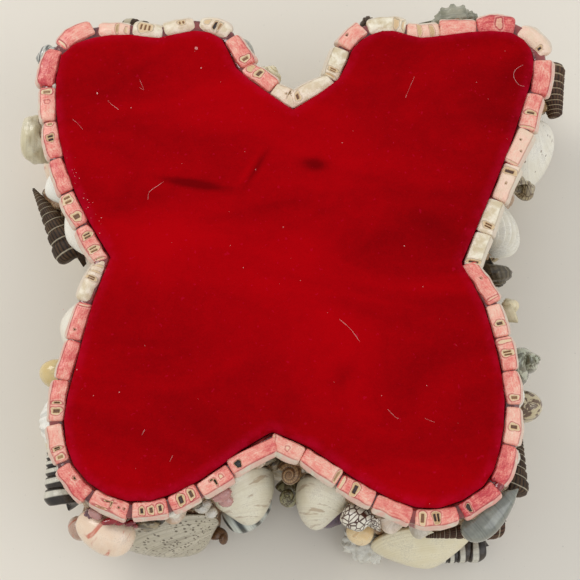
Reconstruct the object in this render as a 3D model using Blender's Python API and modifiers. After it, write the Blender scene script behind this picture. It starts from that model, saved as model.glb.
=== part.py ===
"""Butterfly-shaped trinket box of card, covered in sea shells, with a velvet panel on top.

Metres, +Z up. The origin is on the underside, at the middle of the velvet panel's width and depth.
The box parts at a level seam: the upper half lifts off a card liner that stands in the lower half.
"""
import math
from collections import namedtuple

import bmesh
import bpy
import numpy as np
from mathutils import Euler, Vector

MM = 0.001

# The velvet panel
PANEL_WIDTH = 152.6 * MM
PANEL_LENGTH = 152.4 * MM
PANEL_THICK = 5.7 * MM
PANEL_ROUND = 1.2 * MM

# The card box
BOX_HEIGHT = 50.0 * MM
SEAM_HEIGHT = 20.0 * MM
FLOOR_THICK = 2.5 * MM
TOP_THICK = 3.0 * MM
WALL_THICK = 2.4 * MM
WALL_OUTSET = 3.0 * MM
BOARD_OVERHANG = 0.5 * MM
LINER_THICK = 1.2 * MM
LINER_RISE = 5.0 * MM
LINER_PLAY = 0.4 * MM
PAD_THICK = 1.0 * MM

# The edging of ground shell pieces round the panel
EDGING_WIDTH = 5.3 * MM
EDGING_HEIGHT = 4.7 * MM
EDGING_GAP = 0.4 * MM
EDGING_NICK = 1.1 * MM

# The shells on the walls
SHELL_RELIEF = 12.0 * MM
SHELL_FOOT = 1.0 * MM
JOINT = 0.3 * MM

# How far up the seam is, in percent, on the shells' levels from 0 at their foot to 100 at the top
SEAM_SHARE = 40

# Curve steps between two points of the outline, and tries at seating a shell on the curved wall
OUTLINE_STEPS = 2
SEATING_TRIES = 6

# Corners and curve points of the panel, clockwise from above, in percent of half its width and length.
# Each wing starts at the notch before it.
WING_SHARES = {
    "upper_right": (
        (-1, 63), (18, 77), (24, 91), (32, 98), (42, 100), (53.5, 96.5), (74, 99.3),
        (92, 99), (100, 91), (100, 79.5), (95, 65), (89, 48), (79, 24.5),
    ),
    "lower_right": (
        (66, -4), (74, -22), (78, -40), (80, -59.5), (77, -78.5), (70, -92),
        (53, -100), (36.5, -97), (20, -87.7), (5, -77.3),
    ),
    "lower_left": (
        (-9.3, -71.3), (-21, -78.4), (-36, -89.5), (-54.4, -97.3), (-71, -95),
        (-84, -84), (-88.6, -67), (-85.6, -47), (-80, -20),
    ),
    "upper_left": (
        (-74, -1.7), (-84.5, 15.2), (-94, 36.5), (-100, 63), (-99.5, 88), (-86.4, 96.6),
        (-70.4, 98), (-58.5, 96.5), (-43, 100), (-31.3, 96), (-25, 82.3), (-13.4, 72),
    ),
}

# Lengths of the edging's pieces along each wing, clockwise, as shares of the wing
PIECE_SHARES = {
    "upper_right": (17, 12, 9, 12, 12, 12, 12, 11, 12, 13, 13, 13, 12, 12),
    "lower_right": (15, 10, 10, 10, 11, 11, 12, 12, 11, 11, 13, 11),
    "lower_left": (16, 10, 9, 10, 11, 11, 11, 12, 12, 12, 15),
    "upper_left": (14, 12, 12, 13, 12, 13, 12, 11, 11, 11, 10, 12, 13, 10),
}

COLOURS = {
    "card": (0.42, 0.30, 0.19),
    "velvet": (0.30, 0.004, 0.008),
    "dyed": (0.78, 0.33, 0.31),
    "white": (0.80, 0.76, 0.68),
    "cream": (0.74, 0.66, 0.48),
    "peach": (0.78, 0.52, 0.40),
    "grey": (0.42, 0.42, 0.38),
    "mottled": (0.38, 0.33, 0.24),
    "brown": (0.25, 0.13, 0.07),
    "dark": (0.09, 0.06, 0.045),
    "purple": (0.13, 0.08, 0.13),
}


# Outline of the panel

def curve_through(before, start, end, after, steps):
    shares = np.linspace(0, 1, steps, endpoint=False)[:, None]
    return 0.5 * (
        2 * start
        + (end - before) * shares
        + (2 * before - 5 * start + 4 * end - after) * shares ** 2
        + (3 * start - before - 3 * end + after) * shares ** 3
    )


def panel_outline():
    half = np.array((PANEL_WIDTH / 2, PANEL_LENGTH / 2))
    wings = [np.array(points) / 100 * half for points in WING_SHARES.values()]
    outline = []
    corners = []
    for index, wing in enumerate(wings):
        corners.append(len(outline))
        following = wings[(index + 1) % len(wings)][0]
        points = [2 * wing[0] - wing[1], *wing, following, 2 * following - wing[-1]]
        for four in zip(points, points[1:], points[2:], points[3:]):
            outline.extend(curve_through(*four, OUTLINE_STEPS))
    return np.array(outline), corners


def outward(outline):
    ahead = np.roll(outline, -1, axis=0) - outline
    ahead /= np.linalg.norm(ahead, axis=1)[:, None]
    sides = np.stack((-ahead[:, 1], ahead[:, 0]), axis=1)
    mitre = sides + np.roll(sides, 1, axis=0)
    return mitre / (mitre * sides).sum(axis=1)[:, None]


OUTLINE, CORNERS = panel_outline()
MITRES = outward(OUTLINE)
STEPS = np.linalg.norm(np.roll(OUTLINE, -1, axis=0) - OUTLINE, axis=1)
STATIONS = np.concatenate(((0,), np.cumsum(STEPS)))
GIRTH = STATIONS[-1]


def offset(distance):
    return OUTLINE + MITRES * distance


def at_station(station, distance):
    ring = offset(distance)
    closed = np.vstack((ring, ring[:1]))
    return np.array([np.interp(station % GIRTH, STATIONS, closed[:, axis]) for axis in (0, 1)])


# Materials and objects

def finish(name):
    material = bpy.data.materials.get(name)
    if material is None:
        material = bpy.data.materials.new(name)
        material.use_nodes = True
        shader = material.node_tree.nodes["Principled BSDF"]
        shader.inputs["Base Color"].default_value = (*COLOURS[name], 1)
        shader.inputs["Roughness"].default_value = 0.9 if name in ("card", "velvet") else 0.35
    return material


def add_object(name, data, colour):
    obj = bpy.data.objects.new(name, data)
    data.materials.append(finish(colour))
    bpy.data.collections["shell_box"].objects.link(obj)
    return obj


def add_plate(name, rings, low, high, colour):
    """A level plate between two heights, with the first ring as its edge and others as openings."""
    curve = bpy.data.curves.new(name, "CURVE")
    curve.dimensions = "2D"
    curve.fill_mode = "BOTH"
    curve.extrude = (high - low) / 2
    for ring in rings:
        spline = curve.splines.new("POLY")
        spline.points.add(len(ring) - 1)
        for point, (x, y) in zip(spline.points, ring):
            point.co = (x, y, 0, 1)
        spline.use_cyclic_u = True
    plate = add_object(name, curve, colour)
    plate.location.z = (low + high) / 2
    return plate


# The card box

def add_box():
    board_edge = WALL_OUTSET + BOARD_OVERHANG
    wall_inside = WALL_OUTSET - WALL_THICK
    liner_outside = wall_inside - LINER_PLAY
    liner_inside = liner_outside - LINER_THICK
    floor_top = FLOOR_THICK + JOINT
    wall = (offset(WALL_OUTSET), offset(wall_inside))
    add_plate("bottom_board", (offset(board_edge),), 0, FLOOR_THICK, "card")
    add_plate("bottom_wall", wall, floor_top, SEAM_HEIGHT, "card")
    add_plate("top_wall", wall, SEAM_HEIGHT + JOINT, BOX_HEIGHT - TOP_THICK - JOINT, "card")
    add_plate("top_board", (offset(board_edge),), BOX_HEIGHT - TOP_THICK, BOX_HEIGHT, "card")
    liner = (offset(liner_outside), offset(liner_inside))
    add_plate("velvet_liner", liner, floor_top, SEAM_HEIGHT + LINER_RISE, "velvet")
    pad = offset(liner_inside - LINER_PLAY)
    add_plate("floor_pad", (pad,), floor_top, floor_top + PAD_THICK, "velvet")


def add_velvet_panel():
    base = BOX_HEIGHT + JOINT
    panel = add_plate("velvet_panel", (OUTLINE,), base, base + PANEL_THICK, "velvet")
    weld = panel.modifiers.new("weld caps", "WELD")
    weld.merge_threshold = 0.00001
    bevel = panel.modifiers.new("soft edge", "BEVEL")
    bevel.width = PANEL_ROUND
    bevel.limit_method = "ANGLE"
    bevel.angle_limit = math.radians(80)


# The edging: each wing's ground pieces stand in one bed of glue, so that a wing is one solid

def piece_section(station, fullness):
    """Corners across the edging, from the panel's side outwards, as world points."""
    shape = ((0, 0), (0, 1), (0.82, 1), (1, 0.65), (0.9, 0))
    middle = 0.5
    base = BOX_HEIGHT + JOINT
    inner = at_station(station, EDGING_GAP)
    outer = at_station(station, EDGING_GAP + EDGING_WIDTH)
    corners = []
    for across, up in shape:
        x, y = inner + (outer - inner) * (middle + (across - middle) * fullness)
        corners.append((x, y, base + up * fullness * EDGING_HEIGHT))
    return corners


def add_edging(wing, start, end):
    bed = 0.72
    shares = np.array(PIECE_SHARES[wing], dtype=float)
    joints = start + JOINT + np.cumsum((0, *shares)) / shares.sum() * (end - start - 2 * JOINT)
    sections = []
    for low, high in zip(joints, joints[1:]):
        near = low + EDGING_NICK / 2
        far = high - EDGING_NICK / 2
        if low == joints[0]:
            near = low
        if high == joints[-1]:
            far = high
        bends = [station for station in STATIONS if near < station < far]
        sections.extend(piece_section(station, 1) for station in (near, *bends, far))
        if far < high:
            sections.append(piece_section(high, bed))
    bm = bmesh.new()
    rings = [[bm.verts.new(corner) for corner in section] for section in sections]
    bm.faces.new(rings[0])
    bm.faces.new(rings[-1])
    for ring, following in zip(rings, rings[1:]):
        for index in range(len(ring)):
            after = (index + 1) % len(ring)
            bm.faces.new((ring[index], ring[after], following[after], following[index]))
    bmesh.ops.recalc_face_normals(bm, faces=bm.faces)
    mesh = bpy.data.meshes.new("edging_" + wing)
    bm.to_mesh(mesh)
    bm.free()
    add_object("edging_" + wing, mesh, "dyed")


# Shell forms: each bends a round ball into a shell. `rise` runs from 0 at the ball's first pole to
# 1 at its last, `angle` goes round it. Valves bulge towards +Z with the beak at +Y, and coiled
# shells lie along X with the tip at +X.

def valve(rise, angle):
    """One half of a clam, flat behind."""
    rim = 0.6
    x = math.cos(angle) * (1 + 0.06 * math.sin(angle))
    beak = max(0, math.sin(angle)) ** 8
    y = math.sin(angle) * 0.84 + 0.14 * beak
    if rise <= rim:
        reach = math.sin(math.pi / 2 * rise / rim)
        bulge = max(0, 1 - reach ** 2.2) ** 0.6
        return x * reach, 0.22 * (1 - reach) + y * reach, 0.06 + 0.5 * bulge
    reach = (1 - rise) / (1 - rim)
    return x * reach, y * reach, 0


def tower(rise, angle):
    """A tall spire that ends in a blunt base."""
    base = 0.8
    if rise <= base:
        down = rise / base
        radius = down ** 0.85
        x = 1 - 1.8 * down
    else:
        left = (1 - rise) / (1 - base)
        radius = left ** 0.5
        x = -1 + 0.2 * left
    return x, radius * math.cos(angle), radius * math.sin(angle)


def turban(rise, angle):
    """A round snail with a low stepped spire and a swollen mouth."""
    spire = 0.4
    if rise <= spire:
        down = rise / spire
        radius = 0.75 * down ** 0.8
        x = 1 - 0.45 * down
    else:
        down = (rise - spire) / (1 - spire)
        radius = 0.75 + 0.25 * math.sin(math.pi * min(1, down / 0.7) / 2)
        radius *= math.cos(math.pi / 2 * max(0, down - 0.3) / 0.7) ** 0.6
        x = 0.55 - 1.2 * down
    mouth = 0.15 * max(0, math.cos(angle)) ** 2 * radius
    return x, radius * math.cos(angle) + mouth, radius * math.sin(angle)


def cone_shell(rise, angle):
    """A low spire on a broad shoulder that tapers to the base."""
    shoulder = 0.34
    if rise <= shoulder:
        radius = (rise / shoulder) ** 0.9
        x = 1 - 0.35 * rise / shoulder
    else:
        down = (rise - shoulder) / (1 - shoulder)
        radius = (1 - down ** 1.6) ** 0.8
        x = 0.65 - 1.65 * down
    return x, radius * math.cos(angle), radius * math.sin(angle)


def cowrie(rise, angle):
    """A smooth egg, blunter at the tip."""
    radius = math.sin(math.pi * rise) ** 0.85
    x = math.cos(math.pi * rise)
    radius *= 1 + 0.12 * x
    return x, radius * math.cos(angle), radius * math.sin(angle)


def cluster(rise, angle):
    """A rough knobbly lump."""
    knob = 1 + 0.16 * math.sin(3 * angle + 9 * rise) * math.sin(math.pi * rise)
    radius = math.sin(math.pi * rise) * knob
    return math.cos(math.pi * rise), radius * math.cos(angle), radius * math.sin(angle)


SIDES = {valve: (10, 5), tower: (8, 7), turban: (8, 6), cone_shell: (8, 6), cowrie: (8, 6), cluster: (8, 6)}

# Where each shell sits. `station` is its middle along the panel's outline and `along` its length, both
# in percent of the outline clockwise from the upper notch. `low` and `high` are levels from 0 to 100,
# `deep` is percent of the shells' relief, and `proud` the same, off the board's edge. `spin`
# turns the tip or beak anticlockwise as one faces the wall, `tip` lifts it off the wall, `lean` brings
# the foot of the shell outwards, and `turn` swings the shell level.
Shell = namedtuple(
    "Shell",
    "form colour station along low high deep spin tip lean turn proud",
    defaults=(0, 0, 0, 0, 0),
)

SHELLS = {
    # upper right wing, upper row
    "fan_clam": Shell(valve, "white", 4.5, 3.7, 44, 78, 48, spin=20),
    "spiky_snail": Shell(turban, "grey", 10.8, 4.2, 74, 99, 100, spin=180),
    "shy_clam": Shell(valve, "cream", 10.3, 4.0, 43, 73, 80),
    "ribbed_tower": Shell(tower, "dark", 16.0, 3.4, 46, 68, 104, spin=180, proud=25),
    "dotted_clam": Shell(valve, "white", 19.9, 4.4, 44, 90, 102, spin=-70, lean=10),
    "netted_snail": Shell(turban, "brown", 22.6, 1.3, 80, 99, 78, tip=50),
    "grooved_clam": Shell(valve, "white", 24.85, 2.9, 44, 94, 98, spin=-60, lean=8),
    "dark_snail": Shell(turban, "dark", 27.1, 1.8, 60, 92, 108, spin=200, tip=40),
    # lower right wing, upper row
    "mottled_turban": Shell(turban, "mottled", 33.6, 2.0, 48, 88, 112, spin=90, tip=50),
    "mottled_cowrie": Shell(cowrie, "mottled", 35.45, 1.65, 52, 86, 96, spin=90),
    "dark_tower": Shell(tower, "dark", 38.0, 3.55, 52, 74, 95),
    "lipped_snail": Shell(cone_shell, "grey", 40.3, 3.6, 83, 99.5, 80, spin=180),
    "brown_tower": Shell(tower, "brown", 40.8, 4.2, 66, 82, 70, spin=180, turn=-20, proud=15),
    "big_clam": Shell(valve, "cream", 42.7, 5.2, 19, 65, 106, spin=20, lean=12),
    "net_cone": Shell(cone_shell, "brown", 45.4, 2.1, 68, 92, 70, spin=190),
    "pale_clam": Shell(valve, "white", 47.6, 2.7, 40, 94, 116, spin=-15, lean=8),
    "brown_snail": Shell(turban, "brown", 49.75, 1.3, 74, 92, 64, tip=60),
    # lower left wing, upper row
    "white_clam": Shell(valve, "white", 53.85, 3.3, 40, 94, 116, spin=15, lean=8),
    "peach_cowrie": Shell(cowrie, "peach", 59.7, 3.0, 68, 96, 104, turn=-4),
    "ribbed_clam": Shell(valve, "cream", 57.9, 5.5, 12, 66, 100, spin=50, lean=10),
    "left_banded_tower": Shell(tower, "dark", 62.8, 4.0, 42, 63, 94, spin=180, turn=-5, proud=14),
    "grey_ribbed_clam": Shell(valve, "white", 64.7, 3.3, 64, 97, 60),
    "yellow_cowrie": Shell(cowrie, "cream", 67.05, 1.6, 48, 80, 100, spin=90),
    "bright_clam": Shell(valve, "white", 69.6, 3.5, 44, 96, 80, spin=-20),
    # upper left wing, upper row
    "left_tower": Shell(tower, "dark", 77.6, 5.3, 50, 73, 100, spin=180, turn=12),
    "knobbly_turban": Shell(turban, "cream", 81.9, 2.75, 48, 84, 110, spin=120, tip=50),
    "striped_turban": Shell(turban, "grey", 85.1, 1.6, 82, 99.5, 68, tip=60),
    "tucked_clam": Shell(valve, "cream", 85.4, 3.3, 44, 80, 85),
    "top_tower": Shell(tower, "dark", 90.0, 3.9, 80, 98, 62, spin=180),
    "long_clam": Shell(valve, "white", 89.6, 4.0, 43, 78, 85),
    "grey_clam": Shell(valve, "grey", 94.4, 2.9, 46, 92, 60, spin=-20),
    "cream_snail": Shell(turban, "cream", 97.3, 1.9, 66, 96, 78, spin=90, tip=40),
    # lower row, round the bottom half
    "low_clam_1": Shell(valve, "cream", 4.6, 4.2, 2, 39, 88, spin=10),
    "low_tower_1": Shell(tower, "brown", 9.4, 4.6, 6, 34, 110, spin=180),
    "low_clam_2": Shell(valve, "white", 14.4, 3.6, 2, 39, 92, spin=-20),
    "low_clam_3": Shell(valve, "grey", 19.2, 4.3, 2, 39, 90, spin=15),
    "low_turban_1": Shell(turban, "mottled", 24.1, 3.6, 2, 39, 84, tip=30),
    "low_clam_4": Shell(valve, "white", 32.0, 4.0, 2, 39, 90, spin=-10),
    "low_cowrie_1": Shell(cowrie, "mottled", 36.6, 3.9, 4, 39, 88),
    "banded_tower": Shell(tower, "dark", 41.0, 4.1, 2, 17.5, 66, spin=180, turn=-14, proud=70),
    "rough_cluster": Shell(cluster, "grey", 44.7, 2.6, 2, 18, 112, proud=8),
    "purple_olive": Shell(cowrie, "purple", 47.2, 2.5, 6, 37, 96),
    "striped_olive": Shell(cowrie, "grey", 54.2, 3.0, 8, 32, 106, proud=10),
    "low_clam_5": Shell(valve, "cream", 64.2, 4.4, 2, 39, 92, spin=15),
    "low_clam_6": Shell(valve, "grey", 69.2, 3.6, 2, 39, 88, spin=-10),
    "low_clam_7": Shell(valve, "white", 77.2, 4.4, 2, 39, 76, spin=10),
    "low_cowrie_2": Shell(cowrie, "peach", 82.4, 4.2, 4, 39, 84),
    "low_clam_8": Shell(valve, "cream", 88.2, 4.6, 2, 39, 92, spin=-15),
    "low_clam_9": Shell(valve, "white", 94.2, 4.2, 2, 39, 88, spin=10),
}


def bent_ball(shell):
    """The shell's form, turned as it lies on the wall: X along the wall, Y up, Z off the wall."""
    sides, rows = SIDES[shell.form]
    bm = bmesh.new()
    bmesh.ops.create_uvsphere(bm, u_segments=sides, v_segments=rows, radius=1)
    turned = Euler((math.radians(-shell.lean), 0, 0)).to_matrix()
    turned @= Euler((0, 0, math.radians(shell.spin))).to_matrix()
    turned @= Euler((0, math.radians(-shell.tip), 0)).to_matrix()
    for vert in bm.verts:
        rise = math.acos(max(-1, min(1, vert.co.z))) / math.pi
        angle = math.atan2(vert.co.y, vert.co.x)
        vert.co = turned @ Vector(shell.form(rise, angle))
    return bm


def fit_in_cell(bm, along, tall, deep):
    points = np.array([vert.co for vert in bm.verts])
    low = points.min(axis=0)
    size = points.max(axis=0) - low
    scale = np.array((along, tall, deep)) / size
    shift = np.array((along / 2, tall / 2, 0))
    for vert in bm.verts:
        vert.co = (np.array(vert.co) - low) * scale - shift


def gap_to_board(points):
    """The least distance of level points off the boards' edge, negative inside it."""
    ring = offset(WALL_OUTSET + BOARD_OVERHANG)
    starts = ring[None]
    edges = (np.roll(ring, -1, axis=0) - ring)[None]
    offsets = points[:, None] - starts
    shares = np.clip((offsets * edges).sum(axis=2) / (edges ** 2).sum(axis=2), 0, 1)
    away = np.linalg.norm(offsets - edges * shares[..., None], axis=2)
    crosses = (starts[..., 1] > points[:, None, 1]) != (starts[..., 1] + edges[..., 1] > points[:, None, 1])
    reach = (points[:, None, 1] - starts[..., 1]) * edges[..., 0]
    level = np.where(edges[..., 1] == 0, 1, edges[..., 1])
    inside = (crosses & (offsets[..., 0] < reach / level)).sum(axis=1) % 2 == 1
    return np.where(inside, -away.min(axis=1), away.min(axis=1)).min()


def height_at(level):
    return float(np.interp(level, (0, SEAM_SHARE, 100), (SHELL_FOOT, SEAM_HEIGHT, BOX_HEIGHT)))


def add_shell(name, shell):
    station = shell.station / 100 * GIRTH
    reach = SHELL_RELIEF / 2
    ahead = at_station(station + reach, 0) - at_station(station - reach, 0)
    heading = math.atan2(ahead[1], ahead[0]) + math.radians(shell.turn)
    low = height_at(shell.low)
    high = height_at(shell.high)
    bm = bent_ball(shell)
    fit_in_cell(bm, shell.along / 100 * GIRTH, high - low, shell.deep / 100 * SHELL_RELIEF)
    upright = Euler((math.pi / 2, 0, heading + math.pi)).to_matrix()
    spot = Vector((*at_station(station, 0), (low + high) / 2))
    out = Vector((-math.sin(heading), math.cos(heading), 0))
    middles = [(edge.verts[0].co + edge.verts[1].co) / 2 for edge in bm.edges]
    turned = [upright @ point for point in (*(vert.co for vert in bm.verts), *middles)]
    wanted = JOINT + shell.proud / 100 * SHELL_RELIEF
    for _ in range(SEATING_TRIES):
        points = np.array([(spot + point).xy for point in turned])
        spot += out * (wanted - gap_to_board(points))
    mesh = bpy.data.meshes.new(name)
    bm.to_mesh(mesh)
    bm.free()
    mesh.shade_smooth()
    obj = add_object(name, mesh, shell.colour)
    obj.location = spot
    obj.rotation_euler = upright.to_euler()


def main():
    for obj in list(bpy.data.objects):
        bpy.data.objects.remove(obj, do_unlink=True)
    collection = bpy.data.collections.new("shell_box")
    bpy.context.scene.collection.children.link(collection)
    add_box()
    add_velvet_panel()
    starts = [STATIONS[corner] for corner in CORNERS]
    for wing, start, end in zip(WING_SHARES, starts, (*starts[1:], GIRTH)):
        add_edging(wing, start, end)
    for name, shell in SHELLS.items():
        add_shell(name, shell)


main()
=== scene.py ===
import math

import bmesh
import bpy
import numpy as np
from mathutils import Euler, Matrix, Vector
from mathutils.geometry import delaunay_2d_cdt


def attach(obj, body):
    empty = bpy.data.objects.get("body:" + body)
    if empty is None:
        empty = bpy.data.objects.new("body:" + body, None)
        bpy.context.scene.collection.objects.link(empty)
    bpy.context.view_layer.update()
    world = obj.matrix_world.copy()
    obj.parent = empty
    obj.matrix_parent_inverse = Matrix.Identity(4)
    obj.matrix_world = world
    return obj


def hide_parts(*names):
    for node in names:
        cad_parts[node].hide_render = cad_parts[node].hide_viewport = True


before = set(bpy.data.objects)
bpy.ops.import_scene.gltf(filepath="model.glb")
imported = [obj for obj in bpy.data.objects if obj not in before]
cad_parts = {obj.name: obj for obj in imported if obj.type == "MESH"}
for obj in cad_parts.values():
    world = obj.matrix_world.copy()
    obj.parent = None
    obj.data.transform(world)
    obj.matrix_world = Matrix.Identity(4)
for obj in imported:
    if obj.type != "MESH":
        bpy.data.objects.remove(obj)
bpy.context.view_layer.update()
mm = 0.001
fullTurn = 6.28318
halfTurn = 3.14159
naturalBase = 2.71828


def fromPhoto(red, green, blue):  # an eight-bit colour as the linear one that a shader takes
    return tuple((share / 12.92 if share <= 0.04045 else ((share + 0.055) / 1.055) ** 2.4)
                 for share in (red / 255, green / 255, blue / 255))


# Node trees, for shaders and geometry alike

class Field:  # an output socket that takes part in sums
    def __init__(self, tree, socket):
        self.tree = tree
        self.socket = socket

    def maths(self, operation, *others):
        return self.tree.add("ShaderNodeMath", {"operation": operation}, (self, *others))

    def __add__(self, other):
        return self.maths("ADD", other)

    def __sub__(self, other):
        return self.maths("SUBTRACT", other)

    def __mul__(self, other):
        return self.maths("MULTIPLY", other)

    def __truediv__(self, other):
        return self.maths("DIVIDE", other)

    def __pow__(self, other):
        return self.maths("POWER", other)

    def __radd__(self, other):
        return self.maths("ADD", other)

    def __rsub__(self, other):
        return self.tree.add("ShaderNodeMath", {"operation": "SUBTRACT"}, (other, self))

    def __rtruediv__(self, other):
        return self.tree.add("ShaderNodeMath", {"operation": "DIVIDE"}, (other, self))

    def __neg__(self):
        return self.maths("MULTIPLY", -1.0)

    def above(self, edge, width):  # 0 under the edge and 1 over it, softly
        settings = {"interpolation_type": "SMOOTHSTEP"}
        return self.tree.add("ShaderNodeMapRange", settings, (self, edge - width / 2, edge + width / 2))

    def parts(self):
        split = self.tree.add("ShaderNodeSeparateXYZ", {}, (self,)).socket.node
        return [Field(self.tree, socket) for socket in split.outputs]


class Tree:
    def __init__(self, nodeTree):
        self.nodeTree = nodeTree

    def add(self, kind, settings, values, output=0):
        node = self.nodeTree.nodes.new(kind)
        for name, value in settings.items():
            if name == "stops":
                self.setStops(node, value)
            else:
                setattr(node, name, value)
        for key, value in (values.items() if isinstance(values, dict) else enumerate(values)):
            if isinstance(value, Field):
                self.nodeTree.links.new(value.socket, node.inputs[key])
            elif value is not None:
                node.inputs[key].default_value = value
        return Field(self, node.outputs[output])

    def setStops(self, node, stops):
        elements = node.color_ramp.elements
        while len(elements) < len(stops):
            elements.new(0.5)
        for element, (place, colour) in zip(elements, stops):
            element.position = place
            element.color = (*colour, 1)

    def vector(self, x=0.0, y=0.0, z=0.0):
        return self.add("ShaderNodeCombineXYZ", {}, (x, y, z))

    def moved(self, operation, first, second):
        return self.add("ShaderNodeVectorMath", {"operation": operation}, (first, second))

    def mix(self, share, first, second):  # 6 and 7 are the node's colour inputs, and 2 is its colour output
        values = {0: share, 6: self.colour(first), 7: self.colour(second)}
        return self.add("ShaderNodeMix", {"data_type": "RGBA"}, values, 2)

    def colour(self, value):
        return value if isinstance(value, Field) else (*value, 1.0)

    def ramp(self, value, stops):
        return self.add("ShaderNodeValToRGB", {"stops": stops}, (value,))

    def noise(self, place, scale, detail=3.0, roughness=0.55, distortion=0.0):
        values = {"Vector": place, "Scale": scale, "Detail": detail, "Roughness": roughness}
        values["Distortion"] = distortion
        return self.add("ShaderNodeTexNoise", {}, values)

    def cells(self, place, scale, feature="F1"):
        return self.add("ShaderNodeTexVoronoi", {"feature": feature}, {"Vector": place, "Scale": scale})

    def attribute(self, name):
        return self.add("ShaderNodeAttribute", {"attribute_name": name}, (), "Fac")

    def place(self):
        return self.add("ShaderNodeTexCoord", {}, (), "Object")

    def growth(self):  # a shell's own map: x goes round it, y along its growth
        return self.add("ShaderNodeUVMap", {"uv_map": "growth"}, ())


def newMaterial(name, constants):
    material = bpy.data.materials.new(name)
    material.use_nodes = True
    shader = material.node_tree.nodes["Principled BSDF"]
    for key, value in constants.items():
        shader.inputs[key].default_value = value
    return material, Tree(material.node_tree), shader


def connect(tree, shader, colour=None, roughness=None, height=None, bumpDistance=0.0002, strength=1.0):
    links = tree.nodeTree.links
    if colour is not None:
        links.new(colour.socket, shader.inputs["Base Color"])
    if roughness is not None:
        links.new(roughness.socket, shader.inputs["Roughness"])
    if height is not None:
        bump = tree.add("ShaderNodeBump", {}, {"Strength": strength, "Distance": bumpDistance, "Height": height})
        links.new(bump.socket, shader.inputs["Normal"])


def addPiece(name, mesh, material, *nodes, slot=None):
    obj = bpy.data.objects.new(name, mesh)
    bpy.context.scene.collection.objects.link(obj)
    mesh.materials.clear()
    mesh.materials.append(material)
    mesh.shade_smooth()
    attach(obj, "root")
    if nodes:
        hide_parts(*nodes)
    return obj


def outwardFaces(mesh, mergeGap=0):
    bm = bmesh.new()
    bm.from_mesh(mesh)
    if mergeGap:
        bmesh.ops.remove_doubles(bm, verts=bm.verts, dist=mergeGap)
    bmesh.ops.recalc_face_normals(bm, faces=bm.faces)
    bm.to_mesh(mesh)
    bm.free()


def readPoints(mesh):
    points = np.empty(len(mesh.vertices) * 3)
    mesh.vertices.foreach_get("co", points)
    return points.reshape(-1, 3)


def writePoints(mesh, points):
    mesh.vertices.foreach_set("co", points.ravel())
    mesh.update()


def storeValues(mesh, **layers):  # a number at each point, for the materials
    for key, values in layers.items():
        layer = mesh.attributes.new(key, "FLOAT", "POINT")
        layer.data.foreach_set("value", np.ravel(values).astype(np.float32))


def bandMesh(name, points, rows, closed=True):  # rows of points, each a ring, joined one to the next
    count = len(points) // rows
    faces = []
    for row in range(rows if closed else rows - 1):
        start = row * count
        other = (row + 1) % rows * count
        for index in range(count):
            after = (index + 1) % count
            faces.append((start + index, start + after, other + after, other + index))
    mesh = bpy.data.meshes.new(name)
    mesh.from_pydata(points.tolist(), [], faces)
    return mesh


def ringMesh(name, rings):  # closed rings of points, joined into a band that closes on itself
    mesh = bandMesh(name, np.concatenate(rings), len(rings))
    outwardFaces(mesh)
    return mesh


# Outline of the panel, as in the part

panel = {
    "width": 152.6 * mm,
    "length": 152.4 * mm,
    "base": 50.3 * mm,
    "top": 56.0 * mm,
    "edgeRound": 1.9 * mm,
    "sag": 0.28 * mm,  # how far the nap dips between its high places
    "pointGap": 1.15 * mm,
}
wings = {  # in percent of half the width and length, clockwise from the upper notch
    "upper_right": (
        (-1, 63), (18, 77), (24, 91), (32, 98), (42, 100), (53.5, 96.5), (74, 99.3),
        (92, 99), (100, 91), (100, 79.5), (95, 65), (89, 48), (79, 24.5),
    ),
    "lower_right": (
        (66, -4), (74, -22), (78, -40), (80, -59.5), (77, -78.5), (70, -92),
        (53, -100), (36.5, -97), (20, -87.7), (5, -77.3),
    ),
    "lower_left": (
        (-9.3, -71.3), (-21, -78.4), (-36, -89.5), (-54.4, -97.3), (-71, -95),
        (-84, -84), (-88.6, -67), (-85.6, -47), (-80, -20),
    ),
    "upper_left": (
        (-74, -1.7), (-84.5, 15.2), (-94, 36.5), (-100, 63), (-99.5, 88), (-86.4, 96.6),
        (-70.4, 98), (-58.5, 96.5), (-43, 100), (-31.3, 96), (-25, 82.3), (-13.4, 72),
    ),
}


def curveThrough(before, start, end, after, steps):
    shares = np.linspace(0, 1, steps, endpoint=False)[:, None]
    return 0.5 * (
        2 * start
        + (end - before) * shares
        + (2 * before - 5 * start + 4 * end - after) * shares ** 2
        + (3 * start - before - 3 * end + after) * shares ** 3
    )


def traceOutline(steps):
    half = np.array((panel["width"] / 2, panel["length"] / 2))
    anchors = [np.array(points) / 100 * half for points in wings.values()]
    points = []
    corners = []
    for index, wing in enumerate(anchors):
        corners.append(len(points))
        following = anchors[(index + 1) % len(anchors)][0]
        row = [2 * wing[0] - wing[1], *wing, following, 2 * following - wing[-1]]
        for four in zip(row, row[1:], row[2:], row[3:]):
            points.extend(curveThrough(*four, steps))
    return np.array(points), corners


def findMitres(points):
    ahead = np.roll(points, -1, axis=0) - points
    ahead /= np.linalg.norm(ahead, axis=1)[:, None]
    sides = np.stack((-ahead[:, 1], ahead[:, 0]), axis=1)
    mitre = sides + np.roll(sides, 1, axis=0)
    return mitre / (mitre * sides).sum(axis=1)[:, None]


outline, corners = traceOutline(2)
mitres = findMitres(outline)
edgeLengths = np.linalg.norm(np.roll(outline, -1, axis=0) - outline, axis=1)
stations = np.concatenate(((0,), np.cumsum(edgeLengths)))
girth = stations[-1]


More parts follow.
